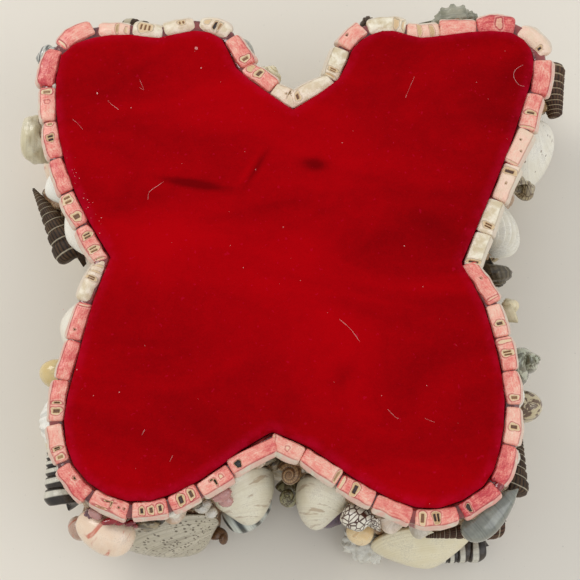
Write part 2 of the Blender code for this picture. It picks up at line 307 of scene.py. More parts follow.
def atStation(station, distance):  # points off the outline; both may be arrays
    wrapped = np.mod(station, girth)
    closed = np.vstack((outline, outline[:1]))
    outwards = np.vstack((mitres, mitres[:1]))
    axes = (0, 1)
    middle = np.stack([np.interp(wrapped, stations, closed[:, axis]) for axis in axes], axis=-1)
    sideways = np.stack([np.interp(wrapped, stations, outwards[:, axis]) for axis in axes], axis=-1)
    return middle + sideways * np.asarray(distance)[..., None]


def toStation(points):  # the nearest place on the outline, and how far off it
    edges = np.roll(outline, -1, axis=0) - outline
    offsets = points[:, None] - outline[None]
    shares = np.clip((offsets * edges).sum(axis=2) / (edges ** 2).sum(axis=1), 0, 1)
    gaps = np.linalg.norm(offsets - edges * shares[..., None], axis=2)
    nearest = gaps.argmin(axis=1)
    rows = np.arange(len(points))
    return stations[nearest] + shares[rows, nearest] * edgeLengths[nearest], gaps[rows, nearest]


def distanceToEdge(points):
    return toStation(points)[1]


def uprightAt(station, turn=0):  # turns a shape that lies on its back to stand against the wall there
    ahead = atStation(station + 6 * mm, 0) - atStation(station - 6 * mm, 0)
    heading = math.atan2(ahead[1], ahead[0]) + math.radians(turn)
    return np.array(Euler((math.pi / 2, 0, heading + math.pi)).to_matrix())


def smoothNoise(points, size, seed):  # soft random waves for hand-made unevenness, about -1 to 1
    draw = np.random.default_rng(seed)
    total = np.zeros(len(points))
    for _ in range(7):
        direction = draw.normal(size=points.shape[1])
        direction /= np.linalg.norm(direction)
        total += np.sin(points @ direction * (2 * math.pi / size) * draw.uniform(0.6, 1.6) + draw.uniform(0, 6.3))
    return total / 3


# Camera, floor and light

studio = {
    "target": (-1.8 * mm, -12.2 * mm, 56 * mm),
    "distance": 300 * mm,
    "tilt": 16,
    "lens": 62.07,
    "floorSize": 3.0,
    "floor": fromPhoto(228, 220, 206),
    "specks": fromPhoto(150, 142, 132),
    "lights": (  # place, size, power and colour
        ("keyLight", (-0.75, 0.62, 0.95), 0.55, 5.2, (1.0, 0.97, 0.93)),
        ("fillLight", (0.9, -0.35, 0.8), 0.9, 3.4, (0.95, 0.97, 1.0)),
    ),
    "sky": (0.93, 0.96, 1.0, 1),
    "skyStrength": 0.8,
}


def setUpStudio():
    scene = bpy.context.scene
    scene.view_settings.view_transform = "Standard"
    tilt = math.radians(studio["tilt"])
    target = Vector(studio["target"])
    lens = bpy.data.cameras.new("camera")
    lens.lens = studio["lens"]
    lens.sensor_width = 36
    lens.clip_start = 0.01
    camera = bpy.data.objects.new("camera", lens)
    camera.location = target + studio["distance"] * Vector((0, -math.sin(tilt), math.cos(tilt)))
    camera.rotation_euler = (tilt, 0, 0)
    scene.collection.objects.link(camera)
    scene.camera = camera

    world = bpy.data.worlds.new("sky")
    world.use_nodes = True
    background = world.node_tree.nodes["Background"]
    background.inputs["Color"].default_value = studio["sky"]
    background.inputs["Strength"].default_value = studio["skyStrength"]
    scene.world = world

    for name, place, size, power, colour in studio["lights"]:
        lamp = bpy.data.lights.new(name, "AREA")
        lamp.size = size
        lamp.energy = power
        lamp.color = colour
        light = bpy.data.objects.new(name, lamp)
        light.location = place
        light.rotation_euler = (target - Vector(place)).to_track_quat("-Z", "Y").to_euler()
        scene.collection.objects.link(light)

    half = studio["floorSize"] / 2
    mesh = bpy.data.meshes.new("floor")
    mesh.from_pydata([(-half, -half, 0), (half, -half, 0), (half, half, 0), (-half, half, 0)], [], [(0, 1, 2, 3)])
    floor = bpy.data.objects.new("floor", mesh)
    scene.collection.objects.link(floor)
    material, tree, shader = newMaterial("paleTable", {"Roughness": 0.75})
    specks = tree.noise(tree.place(), 900.0, 2.0).above(0.74, 0.03)
    cloud = tree.noise(tree.place(), 14.0, 4.0)
    base = tree.mix(cloud, tuple(c * 0.95 for c in studio["floor"]), studio["floor"])
    connect(tree, shader, tree.mix(specks * 0.35, base, studio["specks"]))
    mesh.materials.append(material)


setUpStudio()
print("studio ready")


# Velvet

velvet = {
    "deep": fromPhoto(112, 0, 4),
    "bright": fromPhoto(172, 0, 8),
    "fuzz": fromPhoto(192, 14, 52),  # painted sheen: a paler, bluer colour along the rim, which the flecks also take
    "paintedRimSheenWidth": 3.4,
    "sheen": 0.06,
    "rimPoints": 520,
    "rimDepths": (0.12, 0.3, 0.55, 0.9),  # of the rings inside the rim, as shares of the rounded edge
    # painted shade: how much darker the velvet grows towards the right and towards the near side
    "paintedShadeRight": 0.38,
    "paintedShadeNear": 0.02,
    "marks": (  # middle, half length and width in mm, turn in degrees and strength of the marks in the nap
        ((-31.9, 22.1), 8.8, 1.2, -10, 1.7), ((5.9, 28.5), 3.6, 1.9, -8, 1.5), ((-12.2, 27.5), 6.5, 1.0, 60, 0.9),
        ((-15.0, 26.0), 5.0, 1.2, 60, -0.4), ((16, 0), 22.0, 9.0, 30, 0.25), ((34, 42), 18.0, 10.0, -20, 0.3),
        ((-58, 54), 20.0, 15.0, 20, 0.55), ((-6, 14), 14.0, 10.0, 10, 0.2), ((30, -38), 26.0, 10.0, 40, 0.25),
        ((-30, -46), 22.0, 8.0, -35, 0.1), ((-42, 4), 18.0, 14.0, 0, -0.6), ((-6, -8), 24.0, 16.0, 0, -0.6),
        ((14, -38), 5.0, 2.5, 50, 0.5), ((42, 8), 10.0, 4.0, -30, 0.35),
    ),
}


def velvetMaterial():
    sheen = {"Roughness": 0.95, "Sheen Weight": velvet["sheen"], "Sheen Roughness": 0.45,
             "Specular IOR Level": 0.03, "Sheen Tint": (0.9, 0.02, 0.06, 1)}
    material, tree, shader = newMaterial("crimsonVelvet", sheen)
    place = tree.place()
    brushed = tree.noise(tree.moved("MULTIPLY", place, (1.0, 2.2, 1.0)), 16.0, 3.0, 0.55, 0.8)
    nap = tree.noise(place, 1500.0, 2.0, 0.7)
    tufts = tree.noise(place, 420.0, 3.0, 0.6)
    flattened = tree.attribute("flattened")
    # the nap marks, and the painted shade towards the right and near side, darken the velvet
    lay = (brushed - 0.5) * 0.9 + (nap - 0.5) * 0.24 + (tufts - 0.5) * 0.2 - flattened * 0.42
    base = tree.mix(lay.above(-0.08, 0.9), velvet["deep"], velvet["bright"])
    # painted sheen: the velvet turns paler and bluer near the rim, broken up by noise; the flecks take the same
    # colour
    fuzz = tree.attribute("rimFuzz") * tree.noise(place, 260.0, 4.0, 0.7).above(0.5, 0.5)
    flecks = tree.noise(place, 640.0, 2.0, 0.6).above(0.7, 0.05) * 0.3
    base = tree.mix(fuzz * 0.55 + flecks, base, velvet["fuzz"])
    connect(tree, shader, base, None, nap * 0.6 + tufts * 0.6, 0.0004, 0.6)
    return material


velvetCover = velvetMaterial()


def buildVelvetPanel():
    span = panel["pointGap"]
    columns = np.arange(-panel["width"] / 2, panel["width"] / 2, span)
    rows = np.arange(-panel["length"] / 2, panel["length"] / 2, span * 0.87)
    spots = np.array([(x + (index % 2) * span / 2, y) for index, y in enumerate(rows) for x in columns])
    around = np.linspace(0, girth, velvet["rimPoints"], endpoint=False)
    rim = atStation(around, 0.0)
    insideRims = [atStation(around, -depth * panel["edgeRound"]) for depth in velvet["rimDepths"]]
    edges = [(index, (index + 1) % len(rim)) for index in range(len(rim))]
    spots = spots[distanceToEdge(spots) > panel["edgeRound"] * 1.2]
    points = [Vector(point) for point in (*rim, *np.vstack(insideRims), *spots)]
    found = delaunay_2d_cdt(points, edges, [], 1, 1e-7)
    flat = np.array([tuple(point) for point in found[0]])
    depth = np.minimum(distanceToEdge(flat) / panel["edgeRound"], 1)
    waves = (smoothNoise(flat, 30 * mm, 3) + 0.6 * smoothNoise(flat, 9 * mm, 4)) / 1.6
    height = panel["top"] - panel["sag"] * (0.5 + 0.5 * np.clip(waves, -1, 1))
    height -= panel["edgeRound"] * (1 - np.sqrt(np.clip(1 - (1 - depth) ** 2, 0, 1)))
    bm = bmesh.new()
    verts = [bm.verts.new((x, y, z)) for (x, y), z in zip(flat, height)]
    for face in found[2]:
        bm.faces.new([verts[index] for index in face])
    border = [edge for edge in bm.edges if edge.is_boundary]
    sides = bmesh.ops.extrude_edge_only(bm, edges=border)["geom"]
    lowered = [item for item in sides if isinstance(item, bmesh.types.BMVert)]
    for vert in lowered:
        vert.co.z = panel["base"]
    bmesh.ops.holes_fill(bm, edges=[edge for edge in bm.edges if edge.is_boundary], sides=0)
    bmesh.ops.recalc_face_normals(bm, faces=bm.faces)
    mesh = bpy.data.meshes.new("velvetPad")
    bm.to_mesh(mesh)
    bm.free()
    paintNapShadeAndSheen(mesh)
    pad = addPiece("velvetPad", mesh, velvetCover, "velvet_panel", slot="velvet")


def paintNapShadeAndSheen(mesh):  # how flat the nap lies, with painted shade towards the right and the near side, and how near each point is to the rim, for the painted rim sheen
    level = readPoints(mesh)[:, :2] / mm
    flattened = np.zeros(len(level))
    for middle, long, wide, turn, strength in velvet["marks"]:
        angle = math.radians(turn)
        offset = level - middle
        offLong = (offset[:, 0] * math.cos(angle) + offset[:, 1] * math.sin(angle)) / long
        offWide = (offset[:, 1] * math.cos(angle) - offset[:, 0] * math.sin(angle)) / wide
        flattened += strength * np.exp(-offLong ** 2 - offWide ** 2)
    # painted shade: the velvet darkens towards the right and, very slightly, towards the near side
    right = np.clip((level[:, 0] - 10) / 60, 0, 1)
    near = np.clip((-level[:, 1] - 20) / 50, 0, 1)
    flattened += velvet["paintedShadeRight"] * right + velvet["paintedShadeNear"] * near
    # painted sheen: a share that falls from 1 at the rim to 0 a few millimetres inside
    fuzz = np.clip(1 - distanceToEdge(level * mm) / (velvet["paintedRimSheenWidth"] * mm), 0, 1)
    storeValues(mesh, flattened=flattened, rimFuzz=fuzz)


buildVelvetPanel()
print("velvet ready")


# Card

card = {"face": fromPhoto(158, 130, 98), "dark": fromPhoto(112, 88, 62), "glue": fromPhoto(196, 176, 140)}


def cardMaterial():
    material, tree, shader = newMaterial("brownCard", {"Roughness": 0.8})
    place = tree.place()
    fibres = tree.noise(tree.moved("MULTIPLY", place, (1.0, 1.0, 9.0)), 240.0, 4.0)
    smears = tree.noise(place, 60.0, 4.0, 0.6, 1.2).above(0.56, 0.08)
    base = tree.mix(fibres, card["dark"], card["face"])
    connect(tree, shader, tree.mix(smears * 0.6, base, card["glue"]), 0.85 - smears * 0.45, fibres, 0.0003)
    return material


brownCard = cardMaterial()
for name, material in (("bottom_board", brownCard), ("bottom_wall", brownCard), ("top_wall", brownCard),
                       ("top_board", brownCard), ("velvet_liner", velvetCover), ("floor_pad", velvetCover)):
    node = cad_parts[name]
    node.data.materials.clear()
    node.data.materials.append(material)
print("card ready")


# Ground shell pieces round the panel

edging = {
    "width": 5.4 * mm,
    "widerRight": 0.14,  # how much wider the pieces of the upper right wing are
    "widerFar": 0.26,  # and those along the far edge
    "height": 4.75 * mm,
    "gap": 0.05 * mm,
    "joint": 0.2 * mm,
    "crown": 0.34,
    # how far the pieces differ from each other, from the least to the most
    "joints": (0.6, 3.0),  # shares of the joint
    "heights": (0.94, 1.0),
    "tiltAlong": (-0.06, 0.06),
    "tiltAcross": (-0.07, 0.1),
    "taper": (-0.07, 0.07),
    "bulge": (-0.07, 0.17),  # how far the outward face swells in the middle
    "stray": (-0.12, 0.25),  # mm outwards
    "swing": (-5.5, 5.5),  # degrees
    "straight": 0.5,  # how far each piece keeps straight instead of following the outline
    "rows": 74,
    "lineWidth": 0.15 * mm,
    "markScale": 1.14,
    "slotDepth": 0.8 * mm,
    "bedWidth": 4.7 * mm,
    "bedHeight": 3.1 * mm,
}

# Length share, dye from 0 to 1, shift outwards in mm, turn in degrees, roundness, and the cut hollows of each
# piece: along and across (both -1 to 1), length and width in mm, tone (0.3 tan, 1 black) and dark slots in it
ground = {
    "upper_right": (
        (17, 0.12, 0.0, 0, 0.1, ((-0.6, 0.0, 1.9, 2.3, 0.35, 1), (-0.93, 0.2, 0.6, 2.4, 0.3, 0))),
        (12, 0.08, 0.1, 0, 0.0, ((-0.45, 0.0, 1.5, 2.6, 0.35, 2), (-0.88, 0.1, 0.9, 2.8, 0.42, 0))),
        (9, 0.38, 0.3, 0, 0.1, ((-0.2, 0.45, 0.5, 0.4, 0.9, 0),)),
        (12, 0.04, -0.3, 2, 0.3, ((0.45, 0.0, 1.5, 2.4, 0.32, 0), (0.85, 0.0, 1.0, 2.0, 0.32, 0))),
        (12, 0.24, -0.4, 0, 0.4, ((-0.25, 0.05, 1.5, 3.2, 0.36, 0), (0.5, -0.1, 1.4, 3.2, 0.38, 0))),
        (12, 0.42, -0.9, 0, 0.1, ()),
        (12, 0.74, -0.4, 0, 0.1, ((0.15, 0.0, 1.9, 2.4, 0.16, 0),)),
        (11, 0.16, 0.9, 4, 0.8, ((0.55, -0.4, 1.2, 1.4, 0.6, 1), (0.82, -0.3, 0.8, 1.2, 0.5, 0))),
        (12, 0.58, 0.2, 0, 0.0, ()),
        (13, 0.50, 0.0, 0, 0.0, ((0.1, 0.0, 1.4, 2.8, 0.38, 1), (0.92, 0.0, 0.7, 4.2, 0.4, 0))),
        (13, 0.21, 0.1, 0, 0.0, ((-0.35, -0.2, 0.4, 0.4, 0.9, 0), (0.2, 0.35, 0.4, 0.4, 0.8, 0),
                                 (0.96, 0.0, 0.7, 4.2, 0.75, 0))),
        (13, 0.17, 0.2, 0, 0.0, ((-0.6, -0.1, 1.8, 3.6, 0.42, 1), (0.1, 0.0, 0.4, 0.3, 0.8, 0))),
        (12, 0.10, 0.0, 0, 0.1, ((0.58, 0.1, 1.7, 3.0, 0.4, 2),)),
        (12, 0.08, 0.2, 0, 0.1, ((0.8, 0.0, 1.3, 4.0, 0.45, 1),)),
    ),
    "lower_right": (
        (15, 0.52, 0.4, 6, 0.0, ((-0.1, 0.0, 0.5, 0.4, 0.8, 0), (0.82, 0.0, 0.5, 3.6, 0.18, 0))),
        (10, 0.38, 0.2, 0, 0.0, ((0.2, 0.05, 1.6, 2.6, 0.36, 1),)),
        (10, 0.50, 0.3, 0, 0.0, ((-0.7, 0.0, 0.9, 3.6, 0.2, 0), (0.0, 0.0, 2.0, 3.2, 0.3, 2))),
        (10, 0.46, 0.1, 0, 0.1, ((0.62, 0.0, 1.6, 2.8, 0.24, 1),)),
        (11, 0.30, 0.2, 0, 0.0, ((0.1, 0.0, 2.0, 2.6, 0.36, 1),)),
        (11, 0.76, 0.3, 0, 0.0, ()),
        (12, 0.86, 0.5, 0, 0.0, ((0.6, 0.0, 1.0, 2.2, 0.85, 0),)),
        (12, 0.52, 0.4, 2, 0.1, ((0.66, 0.0, 1.8, 3.4, 0.3, 1), (0.05, 0.0, 1.9, 3.2, 0.65, 2))),
        (11, 0.48, 0.1, 0, 0.2, ()),
        (11, 0.56, 0.0, 0, 0.0, ((0.1, 0.0, 2.0, 3.6, 0.5, 1), (0.84, 0.0, 0.9, 3.8, 0.24, 0))),
        (13, 0.48, 0.2, 0, 0.0, ((-0.85, 0.0, 0.9, 3.2, 0.5, 0),)),
        (11, 0.42, 0.3, 0, 0.1, ((0.86, 0.0, 0.8, 3.2, 0.32, 0), (-0.1, 0.0, 1.0, 1.1, 0.15, 0))),
    ),
    "lower_left": (
        (16, 0.52, 0.5, -4, 0.0, ((0.66, 0.1, 1.6, 1.8, 1.0, 0),)),
        (10, 0.52, 0.2, 0, 0.0, ((0.05, 0.1, 0.5, 1.5, 1.0, 0), (0.2, -0.3, 0.8, 0.4, 0.8, 0),
                                 (-0.4, -0.1, 1.0, 1.0, 0.2, 0))),
        (9, 0.54, 0.1, 0, 0.1, ((0.2, 0.0, 1.9, 3.0, 0.5, 1), (-0.5, 0.0, 1.7, 2.8, 0.38, 1))),
        (10, 0.50, 0.0, 0, 0.1, ((0.4, 0.1, 1.5, 2.2, 0.5, 1), (-0.1, 0.1, 1.5, 2.3, 0.36, 1),
                                 (-0.6, 0.1, 1.4, 2.3, 0.42, 1))),
        (11, 0.50, 0.2, 0, 0.0, ((0.1, -0.3, 1.6, 0.3, 0.8, 0), (-0.1, -0.1, 0.35, 1.4, 0.75, 0),
                                 (-0.5, 0.0, 0.35, 0.3, 0.9, 0), (-0.78, -0.1, 0.3, 0.3, 0.9, 0),
                                 (0.3, 0.6, 2.2, 0.3, 0.6, 0))),
        (11, 0.64, 0.6, 3, 0.0, ((0.1, -0.3, 0.8, 0.5, 0.8, 0),)),
        (11, 0.40, 0.2, 0, 0.1, ((-0.3, 0.05, 1.0, 2.2, 0.55, 2), (-0.75, 0.0, 1.4, 2.6, 0.18, 1))),
        (12, 0.52, 0.3, 0, 0.0, ((-0.5, 0.0, 1.8, 2.8, 0.34, 1), (-0.12, 0.0, 0.8, 2.4, 0.4, 1))),
        (12, 0.62, 0.1, 0, 0.0, ()),
        (12, 0.58, 0.1, 0, 0.0, ((-0.5, 0.1, 0.4, 0.5, 0.8, 0), (0.9, 0.0, 0.9, 4.0, 0.2, 0))),
        (15, 0.12, 0.2, -4, 0.5, ((-0.05, 0.1, 1.1, 3.2, 0.42, 2), (0.3, 0.0, 0.5, 2.8, 0.3, 0),
                                  (0.6, 0.0, 0.5, 2.4, 0.3, 0))),
    ),
    "upper_left": (
        (14, 0.54, 0.2, 0, 0.1, ((0.45, -0.1, 1.9, 2.8, 0.42, 2), (-0.3, 0.0, 2.2, 3.0, 0.28, 2),
                                 (-0.9, 0.1, 0.9, 2.8, 0.5, 0))),
        (12, 0.54, 0.1, 0, 0.1, ((0.6, 0.1, 2.9, 2.9, 0.26, 2), (-0.5, 0.0, 2.8, 2.6, 0.34, 1))),
        (12, 0.56, 0.0, 0, 0.0, ()),
        (13, 0.54, 0.0, 0, 0.0, ((0.1, 0.05, 2.3, 1.9, 0.65, 2), (0.85, 0.0, 1.2, 2.2, 0.2, 1))),
        (12, 0.54, 0.0, 0, 0.0, ((0.7, 0.05, 1.7, 2.9, 0.22, 1), (0.1, 0.0, 1.0, 1.2, 0.12, 0))),
        (13, 0.84, 0.3, 0, 0.0, ()),
        (12, 0.58, 0.9, 2, 0.1, ((-0.88, 0.0, 0.9, 3.2, 0.22, 0),)),
        (11, 0.22, -0.4, 0, 0.5, ((0.2, 0.1, 0.8, 2.6, 0.45, 0), (0.78, 0.0, 0.8, 1.6, 0.3, 0))),
        (11, 0.08, -0.2, 0, 0.6, ((-0.2, 0.2, 4.4, 2.8, 0.3, 3),)),
        (11, 0.12, 0.4, -2, 0.7, ((0.25, 0.3, 2.0, 1.7, 0.3, 2),)),
        (10, 0.10, 0.5, 0, 0.8, ((0.05, -0.1, 0.8, 1.8, 0.9, 0), (0.32, 0.0, 0.7, 1.8, 0.5, 0),
                                 (-0.5, 0.1, 1.6, 1.3, 0.3, 0))),
        (12, 0.56, 0.4, 5, 0.0, ((0.6, 0.0, 2.0, 2.4, 0.26, 1),)),
        (13, 0.46, 0.2, 0, 0.1, ((-0.65, 0.1, 1.8, 2.4, 0.35, 0), (-0.1, 0.1, 2.3, 2.7, 0.35, 1))),
        (10, 0.12, 0.0, 0, 0.0, ((0.2, 0.3, 0.3, 1.4, 0.9, 0), (0.36, 0.3, 0.9, 0.3, 0.8, 0),
                                 (0.0, 0.0, 0.4, 0.3, 0.7, 0))),
    ),
}


dyeStops = (
    (0.0, fromPhoto(238, 222, 196)), (0.2, fromPhoto(240, 188, 164)), (0.42, fromPhoto(234, 144, 126)),
    (0.66, fromPhoto(216, 98, 90)), (0.95, fromPhoto(190, 46, 54)),
)
hollowStops = (
    (0.15, fromPhoto(232, 206, 168)), (0.36, fromPhoto(208, 174, 126)), (0.55, fromPhoto(140, 94, 58)),
    (0.75, fromPhoto(62, 34, 22)), (0.92, fromPhoto(16, 9, 7)),
)


def groundShellMaterial():
    material, tree, shader = newMaterial("dyedGroundShell", {"Coat Weight": 0.3, "Coat Roughness": 0.15})
    place = tree.place()
    dye, tone, line, rim, outerFace = (tree.attribute(key) for key in ("dye", "tone", "line", "rim", "outerFace"))
    patches = tree.noise(place, 330.0, 3.0, 0.6, 0.4)
    grain = tree.noise(place, 2400.0, 3.0, 0.7)
    cut = tree.vector(tree.attribute("crosswise") * 9.0, tree.attribute("lengthwise") * 0.45, patches * 2.0)
    streaks = tree.noise(cut, 1.4, 4.0, 0.7)
    uneven = dye * (0.95 + (patches - 0.5) * 1.8 + (streaks - 0.5) * 1.8 + (grain - 0.5) * 1.2) + line * dye * 0.4
    bone = tree.mix(patches.above(0.5, 0.3), fromPhoto(208, 190, 154), fromPhoto(240, 230, 206))
    paint = tree.mix(dye.above(0.13, 0.16), bone, tree.ramp(uneven, dyeStops))
    paint = tree.mix(rim * 0.3, paint, fromPhoto(246, 208, 184))
    chalk = tree.mix(patches.above(0.46, 0.3) * dye * 1.4, fromPhoto(218, 206, 184), fromPhoto(228, 158, 142))
    paint = tree.mix(outerFace, paint, chalk)
    outlined = tree.mix(dye.above(0.2, 0.2), fromPhoto(132, 104, 70), fromPhoto(140, 48, 44))
    paint = tree.mix(line * (0.45 + grain * 0.5), paint, outlined)
    specks = (grain * 0.6 + streaks * 0.4).above(0.645, 0.05) * 0.65
    paint = tree.mix(specks, paint, fromPhoto(120, 74, 56))
    paint = tree.mix(tone.above(0.16, 0.12), paint, tree.ramp(tone + (grain - 0.5) * 0.16, hollowStops))
    connect(tree, shader, paint, 0.5 - patches * 0.2, grain * 0.5 + streaks * 0.8 + patches, 0.00026, 0.9)
    return material


groundShell = groundShellMaterial()
# across and up round a piece, as shares of its width and height
sectionInner = ((0.03, 0.0), (0.0, 0.2), (-0.01, 0.5), (0.0, 0.78), (0.015, 0.92), (0.04, 0.985))
sectionTop = tuple((across, 1.0) for across in np.linspace(0.07, 0.8, 30))
sectionOuter = ((0.83, 0.985), (0.865, 0.93), (0.91, 0.84), (0.96, 0.72), (1.01, 0.58), (1.05, 0.42), (1.06, 0.26),
                (1.03, 0.1), (0.97, 0.0), (0.6, 0.0), (0.3, 0.0))


def cutMarks(along, across, length, marks):  # tone, outline, pale rim and depth of the hollows, at each point
    tone, line, rim, depth = (np.zeros_like(along) for _ in range(4))
    for placeAlong, placeAcross, long, wide, fill, slots in marks:
        offAlong = (along - placeAlong) * length / (long * edging["markScale"] * mm)
        offAcross = (across * 2 - 0.9 - placeAcross) * edging["width"] / (wide * edging["markScale"] * mm)
        away = (np.abs(offAlong) ** 3 + np.abs(offAcross) ** 3) ** (1 / 3)
        facing = np.arctan2(offAcross, offAlong)
        away *= 1 + 0.1 * np.sin(3 * facing + 9 * placeAlong) + 0.06 * np.sin(5 * facing + 7 * placeAcross)
        beyond = (away - 1) * min(long, wide) / 2 * mm / edging["lineWidth"]
        inside = np.clip(0.5 - beyond, 0, 1)
        tone = np.maximum(tone, inside * (0.12 + 0.45 * fill if slots else fill))
        depth = np.maximum(depth, inside * (0.25 + 0.75 * fill ** 2))
        line = np.maximum(line, np.clip(1.2 - np.abs(beyond - 0.6), 0, 1) * 0.85)
        rim = np.maximum(rim, np.clip(1.4 - np.abs(beyond - 2.2), 0, 1))
        for slot in range(slots):
            middle = ((slot + 0.5) / slots * 2 - 1) * 0.85
            core = np.clip((0.5 / slots - np.abs(offAlong - middle)) * 5 + 0.5, 0, 1)
            core *= np.clip((0.72 - np.abs(offAcross)) * 5, 0, 1)
            tone = np.maximum(tone, core * min(1.0, fill + 0.3))
            depth = np.maximum(depth, core)
    return tone, line, rim, depth


def groundShares(roundness):  # shares along, across and up at each point of a piece
    section = np.array(sectionInner + sectionTop + sectionOuter)
    share = np.linspace(-1, 1, edging["rows"])
    along = np.sign(share) * (1 - (1 - np.abs(share)) ** 1.4)
    power = 16 - 12 * roundness
    fullness = np.clip(1 - np.abs(along) ** power, 0, 1) ** (1 / (4.5 - 2 * roundness))
    middle = np.array((0.48, 0.45))
    grid = middle + (section - middle)[None] * fullness[:, None, None]
    return np.repeat(along[:, None], len(section), axis=1), grid[..., 0], grid[..., 1]


def laidAlong(station, length, along, distance):  # between a straight piece and one that follows the outline
    bent = atStation(station + along * length / 2, distance)
    ends = atStation(np.array((station - length / 2, station + length / 2)), edging["gap"])
    ahead = (ends[1] - ends[0]) / np.linalg.norm(ends[1] - ends[0])
    side = np.array((-ahead[1], ahead[0]))
    centre = ends.mean(axis=0) * 0.5 + atStation(station, edging["gap"]) * 0.5
    run = np.linalg.norm(ends[1] - ends[0]) / 2 * 1.02
    straight = centre + (along * run)[..., None] * ahead + (distance - edging["gap"])[..., None] * side
    return bent + (straight - bent) * edging["straight"]


def buildGroundPiece(name, station, length, dye, shift, turn, roundness, marks, draw):
    along, across, up = groundShares(roundness)
    onTop = np.clip((up - 0.95) / 0.04, 0, 1)
    tone, line, rim, depth = (values * onTop for values in cutMarks(along, across, length, marks))
    rim *= 1 - line
    nearEnd = np.clip((np.abs(along) - 0.9) / 0.07, 0, 1)
    nearSide = np.clip(np.maximum((0.09 - across) / 0.07, (across - 0.76) / 0.06), 0, 1)
    border = np.maximum(nearEnd, nearSide) * np.clip((up - 0.94) / 0.04, 0, 1)
    line = np.maximum(line, border * 0.75 * (1 - roundness))
    height = edging["height"] * draw.uniform(*edging["heights"])
    rise = up * height - depth * edging["slotDepth"] * (0.5 + 0.5 * tone)
    raised = np.clip(up, 0, 1)
    dome = (edging["crown"] + roundness) * raised ** 3 * ((across - 0.45) ** 2 * 1.3 + along ** 2 * 0.16) * height
    tilt = draw.uniform(*edging["tiltAlong"]) * along * length / 2
    tilt += draw.uniform(*edging["tiltAcross"]) * across * edging["width"]
    rise -= dome + (tilt - tilt.min()) * raised
    x, y = atStation(station, 0)
    wider = 1 + edging["widerRight"] * np.clip(x / (50 * mm) - 0.4, 0, 1) * (y > -5 * mm)
    wider += edging["widerFar"] * np.clip(y / (40 * mm) - 1, 0, 1)
    width = edging["width"] * wider * (1 - 0.08 * roundness) * (1 + draw.uniform(*edging["taper"]) * along)
    bulge = draw.uniform(*edging["bulge"]) + 0.08 * roundness
    barrel = 1 + bulge * (0.62 - np.clip(along, -1, 1) ** 2)
    distance = edging["gap"] + across * width * barrel + (shift + draw.uniform(*edging["stray"])) * mm
    level = laidAlong(station, length, along, distance)
    pivot = level.reshape(-1, 2).mean(axis=0)
    swing = math.radians(turn + draw.uniform(*edging["swing"]))
    rotation = np.array(((math.cos(swing), -math.sin(swing)), (math.sin(swing), math.cos(swing))))
    level = (level - pivot) @ rotation.T + pivot
    points = np.concatenate((level, (panel["base"] + rise)[..., None]), axis=-1).reshape(-1, 3)
    points[:, :2] += smoothNoise(points, 6 * mm, int(draw.integers(1000)))[:, None] * 0.12 * mm
    worn = np.abs(smoothNoise(points, 8 * mm, int(draw.integers(1000)))) * 0.14 * mm
    points[:, 2] -= worn * (points[:, 2] > panel["base"])
    mesh = bandMesh(name, points, edging["rows"], closed=False)
    fading = 1 - 0.45 * draw.uniform(0, 1) * np.clip((draw.choice((-1, 1)) * along + 1) / 2, 0, 1)
    outerFace = np.clip((across - 0.8) / 0.04, 0, 1) * np.clip((0.975 - up) / 0.04, 0, 1)
    storeValues(mesh, dye=dye * fading, tone=tone, line=line, rim=rim, outerFace=outerFace,
                lengthwise=along * length / 2 / mm, crosswise=across)
    outwardFaces(mesh, 0.01 * mm)
    return mesh


def layEdging():
    draw = np.random.default_rng(11)
    starts = [stations[corner] for corner in corners]
    number = 0
    for (wing, rows), start, end in zip(ground.items(), starts, (*starts[1:], girth)):
        shares = np.array([row[0] for row in rows], dtype=float)
        joints = start + np.cumsum((0, *shares)) / shares.sum() * (end - start)
        for (_, *looks), low, high in zip(rows, joints, joints[1:]):
            number += 1
            length = high - low - edging["joint"] * draw.uniform(*edging["joints"])
            name = f"groundShell{number:02d}"
            mesh = buildGroundPiece(name, (low + high) / 2, length, *looks, draw)
            addPiece(name, mesh, groundShell, "edging_" + wing, slot="dyed_shell")


def glueMaterial(name, clear, stained, clearness):
    constants = {"Roughness": 0.12, "Coat Weight": 0.6, "Coat Roughness": 0.05, "IOR": 1.48,
                 "Transmission Weight": clearness}
    material, tree, shader = newMaterial(name, constants)
    place = tree.place()
    cloud = tree.noise(place, 170.0, 4.0, 0.6)
    ripples = tree.noise(place, 700.0, 2.0)
    connect(tree, shader, tree.mix(cloud.above(0.5, 0.35), clear, stained), None, ripples + cloud, 0.0004, 0.6)
    return material


# the glue's own red-brown, darkened further as painted shade where the joints between the pieces lie in shadow
pinkGlueWithPaintedShade = glueMaterial("pinkGlueWithPaintedShade", fromPhoto(150, 62, 56), fromPhoto(74, 22, 20), 0.15)


def layGlueBed():  # the ring of stained glue that the pieces stand in, its colour partly the glue's own dark red-brown and partly painted shade in the joints
    count = 620
    along = np.linspace(0, girth, count, endpoint=False)
    width = edging["bedWidth"]
    height = edging["bedHeight"]
    section = ((0.0, 0.0), (0.0, 0.8), (0.1, 1.0), (0.5, 1.0), (0.85, 0.97), (0.97, 0.8), (1.0, 0.4), (1.0, 0.0))
    rings = []
    for across, up in section:
        level = atStation(along, np.full(count, across * width + 0.02 * mm))
        wave = smoothNoise(level, 7 * mm, 21) * 0.5 + smoothNoise(level, 2.5 * mm, 22) * 0.3
        rise = panel["base"] + up * height * (1 + 0.09 * wave)
        rings.append(np.column_stack((level, rise)))
    addPiece("glueBed", ringMesh("glueBed", rings), pinkGlueWithPaintedShade)


layEdging()
layGlueBed()
print("edging ready")


# Shell forms: geometry trees, each with named inputs

